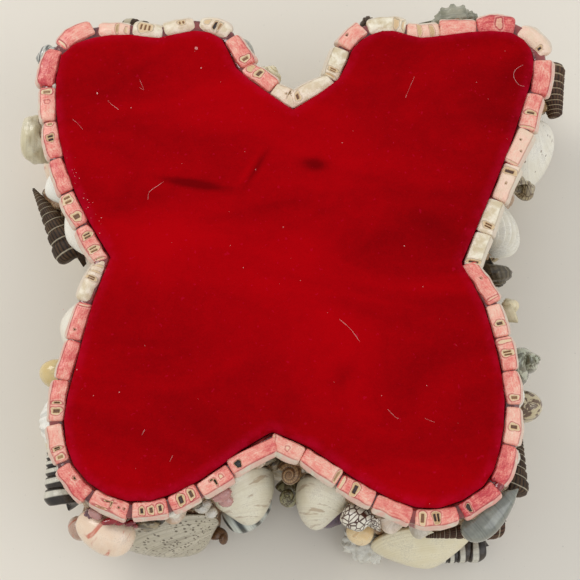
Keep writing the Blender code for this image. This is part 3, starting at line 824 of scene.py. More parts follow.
class ShapeTree(Tree):
    def __init__(self, name, inputs):
        super().__init__(bpy.data.node_groups.new(name, "GeometryNodeTree"))
        self.entry = self.nodeTree.nodes.new("NodeGroupInput")
        face = self.nodeTree.interface
        face.new_socket("Geometry", in_out="OUTPUT", socket_type="NodeSocketGeometry")
        face.new_socket("Geometry", in_out="INPUT", socket_type="NodeSocketGeometry")
        for key, start in inputs.items():
            kind = "NodeSocketInt" if isinstance(start, int) else "NodeSocketFloat"
            face.new_socket(key, in_out="INPUT", socket_type=kind).default_value = start
        face.new_socket("Finish", in_out="INPUT", socket_type="NodeSocketMaterial")

    def given(self, key):
        return Field(self, self.entry.outputs[key])

    def sheet(self):  # a unit grid, its shares along and round, and its mesh
        sizes = {"Size X": 1.0, "Size Y": 1.0, "Vertices X": self.given("Steps"), "Vertices Y": self.given("Sides")}
        grid = self.add("GeometryNodeMeshGrid", {}, sizes)
        x, y, _ = self.add("GeometryNodeInputPosition", {}, ()).parts()
        return grid, x + 0.5, y + 0.5

    def finish(self, grid, mapX, mapY, position):
        stored = {"data_type": "FLOAT2", "domain": "CORNER"}
        mapped = self.add("GeometryNodeStoreNamedAttribute", stored,
                          {"Geometry": grid, "Name": "growth", 3: self.vector(mapX, mapY)})
        moved = self.add("GeometryNodeSetPosition", {}, {"Geometry": mapped, "Position": position})
        return self.leave(self.add("GeometryNodeMergeByDistance", {}, {"Geometry": moved, "Distance": 0.00002}))

    def leave(self, geometry):
        single = self.add("GeometryNodeRealizeInstances", {}, {"Geometry": geometry})
        painted = self.add("GeometryNodeSetMaterial", {}, {"Geometry": single, "Material": self.given("Finish")})
        leaving = self.nodeTree.nodes.new("NodeGroupOutput")
        self.nodeTree.links.new(painted.socket, leaving.inputs[0])
        return self.nodeTree


snailInputs = {
    "Steps": 380, "Sides": 24, "Turns": 9.0, "Growth": 1.25, "Spire": 1.0, "Radius": 0.1, "Across": 0.11,
    "Tall": 0.11, "Squareness": 0.8, "Ribs": 14.0, "RibDepth": 0.0, "Cords": 6.0, "CordDepth": 0.0,
    "Knobs": 0.0, "Flare": 0.06, "MouthDepth": 0.25, "Lip": 0.12, "Droop": 0.0,
}


def growSnail():  # a tube that grows as it coils down from its tip at +X, with a hollow mouth
    tree = ShapeTree("snail", snailInputs)
    given = tree.given
    grid, along, around = tree.sheet()
    mouth = 0.95
    outer = (along / mouth).maths("MINIMUM", 1.0)
    inner = ((along - mouth) / (1 - mouth)).maths("MAXIMUM", 0.0)
    turn = given("Turns") * (outer - 1.0) - given("MouthDepth") * inner
    size = given("Growth") ** turn
    tip = (outer * given("Turns")).above(0.25, 0.5)  # closes the first half turn to a point
    angle = (around - 0.5) * fullTurn
    cosine = angle.maths("COSINE")
    sine = angle.maths("SINE")
    squared = cosine.maths("ABSOLUTE") ** (given("Squareness") - 1.0 + 0.0001)
    facing = cosine.maths("MAXIMUM", 0.0) ** 0.5  # only the outer side carries the sculpture
    late = (given("Turns") * (outer - 1.0)).above(-0.35, 0.7)  # over the last part of the last turn
    ribWave = (turn * given("Ribs") * fullTurn).maths("COSINE") * 0.5 + 0.5
    cordWave = (angle * given("Cords")).maths("COSINE") * 0.5 + 0.5
    relief = ribWave * given("RibDepth") + cordWave * given("CordDepth") + ribWave * cordWave * given("Knobs")
    relief = relief * facing * (1.0 - inner.maths("MINIMUM", 1.0))
    wall = 1.0 + late * given("Flare") - (inner * 14.0).maths("MINIMUM", 1.0) * given("Lip")
    closing = 1.0 - inner ** 6.0
    reach = wall * closing * size * tip
    narrowed = 1.0 + late * given("Flare").maths("MINIMUM", 0.0) * 0.5
    across = given("Radius") * size * tip * narrowed
    across = across + given("Across") * reach * cosine * squared * (1.0 + relief)
    level = given("Tall") * reach * sine * (1.0 + relief * 0.4)
    lift = given("Droop") * outer.above(0.93, 0.14) * size
    x = -(given("Spire") * size) + level - lift
    swing = turn * fullTurn
    y = across * swing.maths("COSINE")
    z = across * swing.maths("SINE")
    return tree.finish(grid, around, turn, tree.vector(x, y, z))


valveInputs = {
    "Steps": 72, "Sides": 110, "Coil": 0.8, "Ribs": 0.0, "RibDepth": 0.0, "Ridges": 14.0, "RidgeDepth": 0.006,
    "Skew": 0.1, "Beak": 0.14, "Wall": 0.06, "Oval": 0.84, "Corner": 0.0, "Dome": 1.0,
}


def growValve():  # growth rings that turn about the hinge as they grow, with a hollow back
    tree = ShapeTree("valve", valveInputs)
    given = tree.given
    grid, along, around = tree.sheet()
    rim = 0.62
    outer = (along / rim).maths("MINIMUM", 1.0)
    inner = ((along - rim) / (1 - rim)).maths("MAXIMUM", 0.0)
    isBack = along.above(rim, 0.004)
    size = (outer - inner).maths("MAXIMUM", 0.012)
    angle = around * fullTurn
    cosine = angle.maths("COSINE")
    sine = angle.maths("SINE")
    upper = sine.maths("MAXIMUM", 0.0)
    rimX = cosine * (1.0 + given("Skew") * sine) * (1.0 + given("Corner") * (sine * sine * cosine.maths("ABSOLUTE")))
    rimY = sine * given("Oval") + given("Beak") * upper ** 8.0
    hinge = 0.9
    fromBeakY = rimY - hinge
    fall = given("Coil") * (1.0 / size).maths("LOGARITHM", naturalBase)
    ribWave = (angle * given("Ribs")).maths("COSINE") * (1.0 - upper)
    ridgeWave = (size * given("Ridges") * fullTurn).maths("SINE")
    front = 1.0 - isBack
    grow = size * (1.0 + (ribWave * given("RibDepth") * 0.5) * front)
    x = rimX * grow
    y = fromBeakY * grow * fall.maths("COSINE")
    z = -(fromBeakY * grow) * fall.maths("SINE")
    bulge = (ribWave * given("RibDepth") + ridgeWave * given("RidgeDepth")) * size * front * (1.0 - size ** 12.0)
    z = (z.maths("MAXIMUM", 0.0) * 2.2) ** given("Dome") * 0.45 + bulge
    thin = 1.0 - isBack * given("Wall")
    x = x * thin
    y = (y + hinge) * thin
    z = z * (1.0 - isBack * 0.16) - isBack * 0.01
    return tree.finish(grid, around, outer - inner, tree.vector(x, y, z))


eggInputs = {"Steps": 60, "Sides": 56, "Blunt": 0.12, "Fullness": 0.85, "Slit": 0.12, "Tip": 0.0, "Rows": 0.0,
             "Beads": 0.0, "BeadDepth": 0.0}


def growEgg():  # cowries and olives: a glossy egg with its slit on the wall side
    tree = ShapeTree("egg", eggInputs)
    given = tree.given
    grid, along, around = tree.sheet()
    angle = (around - 0.5) * fullTurn
    arc = along * halfTurn
    x = arc.maths("COSINE")
    radius = arc.maths("SINE").maths("MAXIMUM", 0.0) ** given("Fullness")
    radius = radius * (1.0 + given("Blunt") * x)
    fromSlit = (around.maths("PINGPONG", 0.5) * 14.0).maths("MINIMUM", 1.0)
    slit = 1.0 - given("Slit") * (1.0 - fromSlit)
    beads = (along * given("Rows") * fullTurn).maths("COSINE") * (angle * given("Beads")).maths("COSINE")
    radius = radius * slit * (1.0 + (beads + 0.3).maths("MAXIMUM", 0.0) * given("BeadDepth"))
    x = x + given("Tip") * (1.0 - along.above(0.06, 0.12)) * 0.12
    y = radius * angle.maths("SINE")
    z = radius * angle.maths("COSINE")
    return tree.finish(grid, around, along, tree.vector(x, y, z))


lumpInputs = {"Steps": 70, "Sides": 80, "Lumps": 0.3, "Fine": 0.1, "Seed": 0.0}


def growLump():  # a rough lump of worm tubes and chips
    tree = ShapeTree("lump", lumpInputs)
    given = tree.given
    grid, along, around = tree.sheet()
    angle = around * fullTurn
    arc = along * halfTurn
    ball = tree.vector(arc.maths("COSINE"), arc.maths("SINE") * angle.maths("COSINE"),
                       arc.maths("SINE") * angle.maths("SINE"))
    shifted = tree.moved("ADD", ball, tree.vector(given("Seed"), 0.0, 0.0))
    knob = 1.0 - given("Lumps") * tree.cells(shifted, 2.6) * 1.3
    grit = given("Fine") * tree.noise(shifted, 7.0, 3.0)
    scaled = tree.add("ShaderNodeVectorMath", {"operation": "SCALE"}, {0: ball, "Scale": knob + grit})
    return tree.finish(grid, around, along, scaled)


growers = {"snail": growSnail(), "valve": growValve(), "egg": growEgg(), "lump": growLump()}


def evaluatedMesh(mesh, nodeTree, given):  # what a geometry tree makes of a mesh
    obj = bpy.data.objects.new("seed", mesh)
    bpy.context.scene.collection.objects.link(obj)
    modifier = obj.modifiers.new("grow", "NODES")
    modifier.node_group = nodeTree
    for item in nodeTree.interface.items_tree:
        if item.in_out == "INPUT" and item.name in given:
            wanted = given[item.name]
            if item.socket_type in ("NodeSocketInt", "NodeSocketFloat"):
                wanted = int(wanted) if item.socket_type == "NodeSocketInt" else float(wanted)
            modifier[item.identifier] = wanted
    obj.update_tag()
    result = bpy.data.meshes.new_from_object(obj.evaluated_get(bpy.context.evaluated_depsgraph_get()))
    obj.modifiers.remove(modifier)
    bpy.data.objects.remove(obj)
    return result


def growShape(shape, material, **changes):
    given = {**shape, **changes, "Finish": material}
    return evaluatedMesh(bpy.data.meshes.new("seed"), growers[shape["form"]], given)


def fitToBox(mesh, upright, low, high, spin, tip, lean):  # turns the shape as it lies and fits it to a box
    turned = Euler((math.radians(-lean), 0, 0)).to_matrix() @ Euler((0, 0, math.radians(spin))).to_matrix()
    turned = np.array(turned @ Euler((0, math.radians(-tip), 0)).to_matrix())
    local = readPoints(mesh) @ turned.T
    local = (local - local.min(axis=0)) * (high - low) / np.ptp(local, axis=0) + low
    writePoints(mesh, local @ upright.T)


# Shell finishes

plainLook = {
    "base": (228, 220, 200), "deep": (150, 130, 100), "pale": (245, 240, 228),
    "bands": 1.0, "bandPlace": 0.0, "bandWidth": 0.3, "bandEdge": 0.08, "bandAmount": 0.0,  # spiral bands or rays
    "bandColour": (150, 130, 100),
    "ribs": 0.0, "ribAmount": 0.0,  # lines across the whorls
    "rings": 20.0, "ringAmount": 0.2,  # growth lines
    "blotch": 9.0, "blotchAmount": 0.0, "blotchEdge": 0.6, "blotchStretch": (1.0, 1.0),
    "marks": "", "markScale": (10.0, 10.0), "markSize": 0.3, "markAmount": 0.8,  # "dots" or "net"
    "tints": (), "dirt": 0.2, "dirtColour": (110, 92, 66),
    "rough": 0.42, "coat": 0.15, "gloss": 0.4, "clear": 0.0, "bump": 0.5,
}


def shellFinish(name, changes):
    look = {**plainLook, **changes}
    colour = {key: fromPhoto(*look[key]) for key in ("base", "deep", "pale", "bandColour", "dirtColour")}
    constants = {"Coat Weight": look["coat"], "Coat Roughness": 0.08, "Specular IOR Level": look["gloss"],
                 "Transmission Weight": look["clear"]}
    material, tree, shader = newMaterial(name + "Finish", constants)
    place = tree.place()
    around, growth, _ = tree.growth().parts()
    cloud = tree.noise(place, 190.0, 4.0, 0.6)
    fine = tree.noise(place, 2200.0, 3.0, 0.6)
    wobble = (cloud - 0.5) * 0.9
    lines = tree.noise(tree.vector(growth * look["rings"] + wobble * 0.12, 0.0, 0.0), 1.0, 3.0, 0.7)
    base = colour["base"]
    if look["tints"]:  # one of these for each small shell
        stops = [(index / len(look["tints"]), fromPhoto(*tint)) for index, tint in enumerate(look["tints"])]
        base = tree.ramp(tree.attribute("tint"), stops)
    paint = tree.mix(cloud.above(0.5, 0.4) * 0.6, base, colour["pale"])
    if look["ribAmount"]:
        ribs = (growth * look["ribs"] + wobble * 0.1).maths("PINGPONG", 0.5).above(0.3, 0.25)
        paint = tree.mix(ribs * look["ribAmount"], paint, colour["deep"])
    if look["bandAmount"]:
        off = (around * look["bands"] - look["bandPlace"] + wobble * 0.03).maths("PINGPONG", 0.5)
        band = 1.0 - off.above(look["bandWidth"] / 2, look["bandEdge"])
        paint = tree.mix(band * look["bandAmount"], paint, colour["bandColour"])
    if look["blotchAmount"]:
        stretch = look["blotchStretch"]
        spot = tree.vector(around * stretch[0] + wobble * 0.05, growth * stretch[1], 0.0)
        blotch = tree.noise(spot, look["blotch"], 3.0, 0.6, 0.6).above(look["blotchEdge"], 0.08)
        paint = tree.mix(blotch * look["blotchAmount"], paint, colour["deep"])
    if look["marks"]:
        spot = tree.vector(around * look["markScale"][0] + wobble * 0.3, growth * look["markScale"][1], 0.0)
        feature = "DISTANCE_TO_EDGE" if look["marks"] == "net" else "F1"
        mark = 1.0 - tree.cells(spot, 1.0, feature).above(look["markSize"], 0.08)
        paint = tree.mix(mark * look["markAmount"], paint, colour["deep"])
    paint = tree.mix(lines.above(0.55, 0.3) * look["ringAmount"], paint, colour["deep"])
    grime = (fine * 0.5 + cloud * 0.5).above(0.56, 0.12) * look["dirt"]
    paint = tree.mix(grime, paint, colour["dirtColour"])
    roughness = look["rough"] + (fine - 0.5) * 0.25
    connect(tree, shader, paint, roughness, lines * 0.7 + fine * 0.3, 0.00025, look["bump"])
    return material


tower = {"form": "snail", "Steps": 420, "Turns": 14.0, "Growth": 1.22, "Spire": 1.0, "Radius": 0.13, "Across": 0.125,
         "Tall": 0.132, "Squareness": 0.42, "Ribs": 26.0, "RibDepth": 0.08, "Cords": 9.0, "CordDepth": 0.07,
         "Flare": -0.45, "MouthDepth": 0.08, "Lip": 0.15}
bluntTower = {**tower, "Growth": 1.13, "Turns": 9.0, "Radius": 0.12, "Tall": 0.085, "Across": 0.12, "Ribs": 20.0}
turret = {**tower, "Ribs": 13.0, "RibDepth": 0.16, "Cords": 7.0, "CordDepth": 0.05, "Growth": 1.3,
          "Squareness": 0.7}
bandedForm = {**tower, "Turns": 12.0, "Growth": 1.26, "Ribs": 8.0, "RibDepth": 0.02, "CordDepth": 0.1, "Cords": 4.0}
turbanForm = {"form": "snail", "Steps": 200, "Sides": 36, "Turns": 3.6, "Growth": 2.0, "Spire": 0.9, "Radius": 0.42,
              "Across": 0.5, "Tall": 0.5, "Squareness": 0.95, "Ribs": 18.0, "RibDepth": 0.0, "Cords": 9.0,
              "CordDepth": 0.03, "Droop": 0.12}
coneForm = {**turbanForm, "Growth": 1.6, "Turns": 5.0, "Tall": 0.75, "Across": 0.34, "Radius": 0.3, "Spire": 0.75,
            "Squareness": 0.8}
clam = {"form": "valve", "RidgeDepth": 0.002}
fullClam = {**clam, "Dome": 0.72, "Coil": 0.5, "Beak": 0.08}
ridgedClam = {"form": "valve", "RidgeDepth": 0.007, "Dome": 0.8}
ribbed = {"form": "valve", "Ribs": 30.0, "RibDepth": 0.05, "Sides": 240, "Steps": 50}
grooved = {"form": "valve", "Ribs": 16.0, "RibDepth": 0.09, "Sides": 200, "Steps": 50}
cowrie = {"form": "egg"}
olive = {"form": "egg", "Blunt": -0.1, "Fullness": 0.8, "Tip": 1.0}
lump = {"form": "lump", "Lumps": 0.34, "Fine": 0.2}

white = {"base": (226, 218, 198), "pale": (246, 242, 230), "deep": (188, 166, 130), "ringAmount": 0.16,
         "coat": 0.35, "rough": 0.35}
stained = {**white, "base": (218, 209, 182), "pale": (238, 232, 212), "deep": (146, 106, 66), "blotch": 5.0,
           "blotchAmount": 0.5, "blotchEdge": 0.6, "blotchStretch": (1.0, 2.4)}
cream = {"base": (222, 208, 168), "pale": (238, 228, 200), "deep": (172, 146, 102), "ringAmount": 0.3, "coat": 0.3}
greyish = {"base": (142, 142, 130), "pale": (206, 204, 190), "deep": (74, 72, 64), "ringAmount": 0.5, "coat": 0.5,
           "rough": 0.3}
suture = {"bands": 1.0, "bandPlace": 0.45, "bandWidth": 0.016, "bandEdge": 0.02, "bandAmount": 0.9,
          "bandColour": (196, 184, 158)}
darkHorn = {**suture, "base": (64, 46, 31), "pale": (112, 84, 58), "deep": (20, 14, 10), "ribs": 26.0,
            "ribAmount": 0.85, "rings": 18.0, "ringAmount": 0.3, "dirt": 0.15, "dirtColour": (140, 118, 88),
            "coat": 0.0, "gloss": 0.2, "rough": 0.55}
segmentHorn = {**darkHorn, "base": (70, 45, 32), "pale": (112, 80, 56), "deep": (30, 18, 13), "ribs": 20.0}
zebraHorn = {**suture, "base": (40, 33, 27), "pale": (62, 52, 42), "deep": (20, 16, 13), "bandPlace": 0.57,
             "bandWidth": 0.13, "bandEdge": 0.03, "bandColour": (222, 216, 198), "ringAmount": 0.25, "coat": 0.3,
             "gloss": 0.3}
mottledHorn = {"base": (190, 172, 132), "pale": (220, 208, 176), "deep": (84, 60, 36), "blotch": 7.0,
               "blotchAmount": 0.95, "blotchEdge": 0.5, "coat": 0.6, "rough": 0.3}
brownHorn = {"base": (104, 70, 42), "pale": (146, 104, 66), "deep": (44, 26, 17), "blotch": 8.0,
             "blotchAmount": 0.7, "ribs": 18.0, "ribAmount": 0.4, "coat": 0.3, "gloss": 0.3}
peach = {"base": (231, 202, 172), "pale": (245, 226, 204), "deep": (196, 88, 62), "blotch": 4.2,
         "blotchAmount": 0.85, "blotchEdge": 0.61, "ringAmount": 0.05, "coat": 0.5, "rough": 0.3}


# Node, station in percent of the girth and turn as in the part, spin, tip, lean, shape and look
shells = (
    ("fan_clam", 4.5, 0, 20, 0, 0, ridgedClam, white),
    ("spiky_snail", 10.8, 0, 180, 0, 0, {**turbanForm, "Ribs": 9.0, "Knobs": 0.6},
     {**greyish, "base": (128, 126, 104), "pale": (190, 186, 164)}),
    ("shy_clam", 10.3, 0, 0, 0, 0, ribbed, cream),
    ("ribbed_tower", 16.0, 0, 180, 0, 0, bluntTower,
     {**segmentHorn, "bands": 3.0, "bandPlace": 0.4, "bandWidth": 0.16, "bandColour": (168, 150, 122)}),
    ("dotted_clam", 19.9, 0, -70, 0, 10, fullClam,
     {**white, "marks": "dots", "markScale": (26.0, 9.0), "markSize": 0.16, "deep": (110, 78, 52)}),
    ("netted_snail", 22.6, 0, 0, 50, 0, turbanForm,
     {**mottledHorn, "marks": "net", "markScale": (12.0, 7.0), "markSize": 0.1, "blotchAmount": 0.5}),
    ("grooved_clam", 24.85, 0, 80, 0, 8, grooved, {**white, "bands": 16.0, "bandPlace": 0.5, "bandWidth": 0.3,
                                                    "bandAmount": 0.5, "bandColour": (120, 112, 100)}),
    ("dark_snail", 27.1, 0, 200, 40, 0, {**turbanForm, "Ribs": 20.0, "RibDepth": 0.16, "CordDepth": 0.12},
     {**brownHorn, "base": (70, 58, 38), "pale": (112, 98, 68), "deep": (28, 21, 14), "coat": 0.6}),
    ("mottled_turban", 33.6, 0, 90, 50, 0, turbanForm,
     {**mottledHorn, "base": (160, 164, 140), "pale": (206, 204, 180), "deep": (84, 80, 56), "coat": 0.9}),
    ("mottled_cowrie", 35.45, 0, 90, 0, 0, cowrie, {**mottledHorn, "blotch": 7.5, "deep": (84, 54, 30)}),
    ("dark_tower", 38.0, 0, 0, 0, 0, tower, darkHorn),
    ("lipped_snail", 40.3, 0, 0, 0, 0, {**olive, "Blunt": -0.35, "Fullness": 1.0},
     {**greyish, "base": (112, 113, 102), "pale": (156, 157, 142), "deep": (66, 68, 60), "coat": 1.0, "rough": 0.18}),
    ("brown_tower", 40.8, -20, 180, 0, 0, tower, segmentHorn),
    ("big_clam", 42.7, 0, 200, 0, 12, fullClam,
     {**cream, "base": (224, 212, 176), "pale": (240, 232, 206), "rings": 60.0, "ringAmount": 0.3}),
    ("net_cone", 45.4, 0, 190, 0, 0, coneForm,
     {**white, "marks": "net", "markScale": (17.0, 11.0), "markSize": 0.085, "markAmount": 1.0,
      "deep": (72, 38, 26)}),
    ("pale_clam", 47.6, 0, 235, 0, 8, fullClam, stained),
    ("brown_snail", 49.75, 0, 90, 15, 0, {**turbanForm, "CordDepth": 0.1},
     {**brownHorn, "base": (150, 116, 78), "pale": (188, 156, 112), "deep": (86, 54, 34), "bands": 8.0,
      "bandWidth": 0.4, "bandAmount": 0.8, "bandColour": (78, 46, 28), "blotchAmount": 0.3}),
    ("white_clam", 53.85, 0, 130, 0, 8, fullClam, stained),
    ("peach_cowrie", 59.7, -4, 0, 0, 0, cowrie, peach),
    ("ribbed_clam", 57.9, 0, 230, 0, 10, {**fullClam, "RidgeDepth": 0.006, "Dome": 0.8},
     {**stained, "base": (184, 174, 150), "pale": (208, 199, 178), "marks": "dots", "markScale": (54.0, 22.0),
      "markSize": 0.28, "markAmount": 0.85, "deep": (84, 72, 56), "ringAmount": 0.45, "blotchAmount": 0.2}),
    ("left_banded_tower", 62.8, -5, 180, 0, 0, bandedForm, zebraHorn),
    ("grey_ribbed_clam", 64.7, 0, 180, 0, 0, {**fullClam, "Ribs": 16.0, "RibDepth": 0.012},
     {**white, "base": (238, 234, 224), "bands": 9.0, "bandWidth": 0.3, "bandAmount": 0.4,
      "bandColour": (158, 158, 152)}),
    ("yellow_cowrie", 67.05, 0, 90, 0, 0, cowrie,
     {**cream, "base": (212, 184, 120), "pale": (228, 208, 156), "coat": 0.7, "rough": 0.25, "ringAmount": 0.05}),
    ("bright_clam", 69.6, 0, 160, 0, 0, fullClam, {**white, "base": (238, 230, 210)}),
    ("left_tower", 77.6, 12, 180, 0, 0, tower, darkHorn),
    ("knobbly_turban", 81.9, 0, 120, 70, 0,
     {"form": "egg", "Steps": 110, "Sides": 120, "Fullness": 0.55, "Rows": 3.5, "Beads": 6.0, "BeadDepth": 0.045,
      "Slit": 0.0},
     {**cream, "base": (216, 203, 164), "pale": (242, 233, 204), "deep": (158, 142, 100), "coat": 0.7, "clear": 0.1}),
    ("striped_turban", 85.1, 0, 0, 60, 0, turbanForm,
     {**greyish, "base": (200, 198, 186), "pale": (232, 230, 220), "bands": 7.0, "bandWidth": 0.45,
      "bandAmount": 0.9, "bandColour": (84, 84, 78), "coat": 0.9}),
    ("tucked_clam", 85.4, 0, 0, 0, 0, ridgedClam, cream),
    ("top_tower", 90.0, 0, 180, 0, 0, tower, {**darkHorn, "bandWidth": 0.16}),
    ("long_clam", 89.6, 0, 0, 0, 0, clam, white),
    ("grey_clam", 94.4, 0, -20, 0, 0, clam, greyish),
    ("cream_snail", 97.3, 0, 90, 40, 0, turbanForm, cream),
    ("low_clam_1", 4.6, 0, 10, 0, 0, ridgedClam, cream),
    ("low_tower_1", 9.4, 0, 180, 0, 0, turret, segmentHorn),
    ("low_clam_2", 14.4, 0, -20, 0, 0, ribbed, white),
    ("low_clam_3", 19.2, 0, 15, 0, 0, ridgedClam, {**stained, "base": (186, 176, 150)}),
    ("low_turban_1", 24.1, 0, 0, 30, 0, turbanForm, mottledHorn),
    ("low_clam_4", 32.0, 0, -10, 0, 0, clam, white),
    ("low_cowrie_1", 36.6, 0, 0, 0, 0, cowrie, mottledHorn),
    ("banded_tower", 41.0, -14, 180, 0, 0, bandedForm, zebraHorn),
    ("rough_cluster", 44.7, 0, 0, 0, 0, lump,
     {**greyish, "base": (226, 220, 202), "pale": (246, 243, 230), "deep": (170, 160, 136), "clear": 0.15,
      "ringAmount": 0.1, "coat": 0.9, "rough": 0.25}),
    ("purple_olive", 47.2, 0, 0, 0, 0, olive,
     {**brownHorn, "base": (76, 50, 74), "pale": (112, 84, 104), "deep": (38, 22, 40), "coat": 0.8,
      "ribAmount": 0.0}),
    ("striped_olive", 54.2, 0, 0, 0, 0, olive,
     {**greyish, "base": (200, 204, 190), "pale": (232, 234, 224), "deep": (24, 32, 25), "ribs": 5.0,
      "ribAmount": 1.0, "coat": 0.9}),
    ("low_clam_5", 64.2, 0, 15, 0, 0, ridgedClam, cream),
    ("low_clam_6", 69.2, 0, -10, 0, 0, ribbed, stained),
    ("low_clam_7", 77.2, 0, 10, 0, 0, clam, white),
    ("low_cowrie_2", 82.4, 0, 0, 0, 0, cowrie, peach),
    ("low_clam_8", 88.2, 0, -15, 0, 0, ridgedClam, cream),
    ("low_clam_9", 94.2, 0, 10, 0, 0, ribbed, white),
)


def inCamel(node):
    first, *others = node.split("_")
    return first + "".join(word.capitalize() for word in others)


def setShells():
    for node, station, turn, spin, tip, lean, shape, look in shells:
        material = shellFinish(inCamel(node), look)
        mesh = growShape(shape, material)
        upright = uprightAt(np.array(station / 100 * girth), turn)
        cell = readPoints(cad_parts[node].data) @ upright
        fitToBox(mesh, upright, cell.min(axis=0), cell.max(axis=0), spin, tip, lean)
        outwardFaces(mesh)
        addPiece(inCamel(node), mesh, material, node)
        laidShells.append(readPoints(mesh))


laidShells = []
setShells()
print("shells ready")


# Small shells between the large ones, and the sandy glue they all stand in

filler = {
    "bands": {"upper": (20.8 * mm, 49.5 * mm), "lower": (1.4 * mm, 19.2 * mm)},  # either side of the seam
    # mm across, and how often a place is tried
    "rows": ((11.0, 600), (8.0, 1200), (5.6, 3000), (3.8, 7000), (2.8, 7000)),
    "largeFrom": 7.0 * mm,  # from here on a shell has the finer mesh
    "overlap": 0.76,
    "depth": 0.44,
    "wall": 3.0 * mm,
    "glueThick": 0.35 * mm,
    "glueMost": 12.0 * mm,
}
tints = ((222, 214, 196), (240, 234, 220), (206, 186, 146), (164, 158, 144), (228, 204, 180), (186, 150, 116))
paleFiller = {"tints": tints, "pale": (244, 238, 226), "deep": (150, 118, 84), "rings": 9.0, "ringAmount": 0.35,
              "blotch": 4.0, "blotchAmount": 0.25, "coat": 0.3}
darkFiller = {"tints": ((96, 70, 46), (150, 126, 88), (58, 44, 34), (120, 116, 96), (176, 150, 112)),
              "pale": (170, 150, 116), "deep": (40, 28, 20), "blotch": 6.0, "blotchAmount": 0.7, "blotchEdge": 0.52,
              "coat": 0.5}
fillerKinds = {  # shape, steps and sides of the fine and the coarse mesh, tip, look, slot and share
    "Clams": ({**clam, "Ridges": 5.0, "RidgeDepth": 0.012}, (26, 34), (8, 15), 0, paleFiller, "white_shell", 0.36),
    "Cockles": ({**ribbed, "Ribs": 14.0, "RibDepth": 0.1}, (20, 84), (7, 22), 0, paleFiller, "cream_shell", 0.24),
    "Snails": (turbanForm, (70, 14), (24, 7), 62, darkFiller, "mottled_shell", 0.2),
    "Spires": ({**tower, "Turns": 6.0, "Growth": 1.4, "Tall": 0.2}, (90, 12), (34, 6), 0, darkFiller,
               "brown_shell", 0.08),
    "Cowries": (cowrie, (18, 20), (8, 10), 0, paleFiller, "peach_shell", 0.12),
}


def measureBand(low, high, columns=620):  # how near to the wall the large shells come and how far off, on a grid
    levels = int((high - low) / (0.95 * mm)) + 1
    near = np.full((columns, levels), np.inf)
    far = np.full((columns, levels), -np.inf)
    for points in laidShells:
        station, distance = toStation(points[::3, :2])
        column = np.round(station / girth * columns).astype(int) % columns
        row = np.round((points[::3, 2] - low) / (high - low) * (levels - 1)).astype(int)
        inside = (row >= 0) & (row < levels)
        np.minimum.at(near, (column[inside], row[inside]), distance[inside])
        np.maximum.at(far, (column[inside], row[inside]), distance[inside])
    far[np.isinf(far)] = np.inf
    for shift in (-1, 1):
        far = np.minimum(far, np.roll(far, shift, axis=0))
    return near, far


def throwPlaces(near, low, high, draw):  # station, level and size of each small shell
    taken = np.isfinite(near)
    columns, levels = taken.shape
    step = girth / columns
    places = np.empty((0, 3))
    for size, tries in filler["rows"]:
        reach = max(int(size * mm / 2 / step), 1)
        for station, level, wide in draw.uniform(0, 1, (tries, 3)):
            across = size * mm * (0.85 + 0.3 * wide)
            station *= girth
            level = low + across * 0.44 + level * (high - low - across * 0.88)
            column = int(station / step)
            row = int(round((level - low) / (high - low) * (levels - 1)))
            window = taken.take(range(column - reach, column + reach + 1), axis=0, mode="wrap")
            if window[:, max(row - reach, 0):row + reach + 1].mean() > 0.3:
                continue
            along = np.abs(places[:, 0] - station)
            gaps = np.hypot(np.minimum(along, girth - along), places[:, 1] - level)
            if not (gaps < filler["overlap"] * (places[:, 2] + across) / 2).any():
                places = np.vstack((places, (station, level, across)))
    return places


def growScatter():  # a shape at each point, turned and stretched as the point says
    tree = ShapeTree("scatter", {})
    tree.nodeTree.interface.new_socket("Shape", in_out="INPUT", socket_type="NodeSocketObject")
    shape = tree.add("GeometryNodeObjectInfo", {}, {"Object": tree.given("Shape"), "As Instance": True}, "Geometry")
    told = {"data_type": "FLOAT_VECTOR"}
    turning = tree.add("GeometryNodeInputNamedAttribute", told, {"Name": "turning"})
    stretch = tree.add("GeometryNodeInputNamedAttribute", told, {"Name": "stretch"})
    rotation = tree.add("FunctionNodeEulerToRotation", {}, (turning,))
    placed = tree.add("GeometryNodeInstanceOnPoints", {}, {
        "Points": tree.given("Geometry"), "Instance": shape, "Rotation": rotation, "Scale": stretch})
    return tree.leave(placed)


scatter = growScatter()


def scatterShape(name, shapeMesh, material, points, turnings, stretches, shares, slot=None):
    spots = bpy.data.meshes.new(name)
    spots.from_pydata(points.tolist(), [], [])
    for key, kind, values in (("turning", "FLOAT_VECTOR", turnings), ("stretch", "FLOAT_VECTOR", stretches),
                              ("tint", "FLOAT", shares)):
        layer = spots.attributes.new(key, kind, "POINT")
        layer.data.foreach_set("vector" if kind == "FLOAT_VECTOR" else "value", np.ravel(values))
    pattern = bpy.data.objects.new("pattern", shapeMesh)
    mesh = evaluatedMesh(spots, scatter, {"Shape": pattern, "Finish": material})
    bpy.data.objects.remove(pattern)
    return addPiece(name, mesh, material, slot=slot)


def unitShape(shape, steps, sides, tip, material):  # one unit across, lying on its back at the origin
    mesh = growShape(shape, material, Steps=steps, Sides=sides)
    points = readPoints(mesh) @ np.array(Euler((0, math.radians(-tip), 0)).to_matrix()).T
    low = points.min(axis=0)
    high = points.max(axis=0)
    points = (points - (low + high) / 2) / (high - low)[:2].max()
    points[:, 2] = (points[:, 2] - points[:, 2].min()) * filler["depth"] / np.ptp(points[:, 2])
    writePoints(mesh, points)
    outwardFaces(mesh)
    return mesh


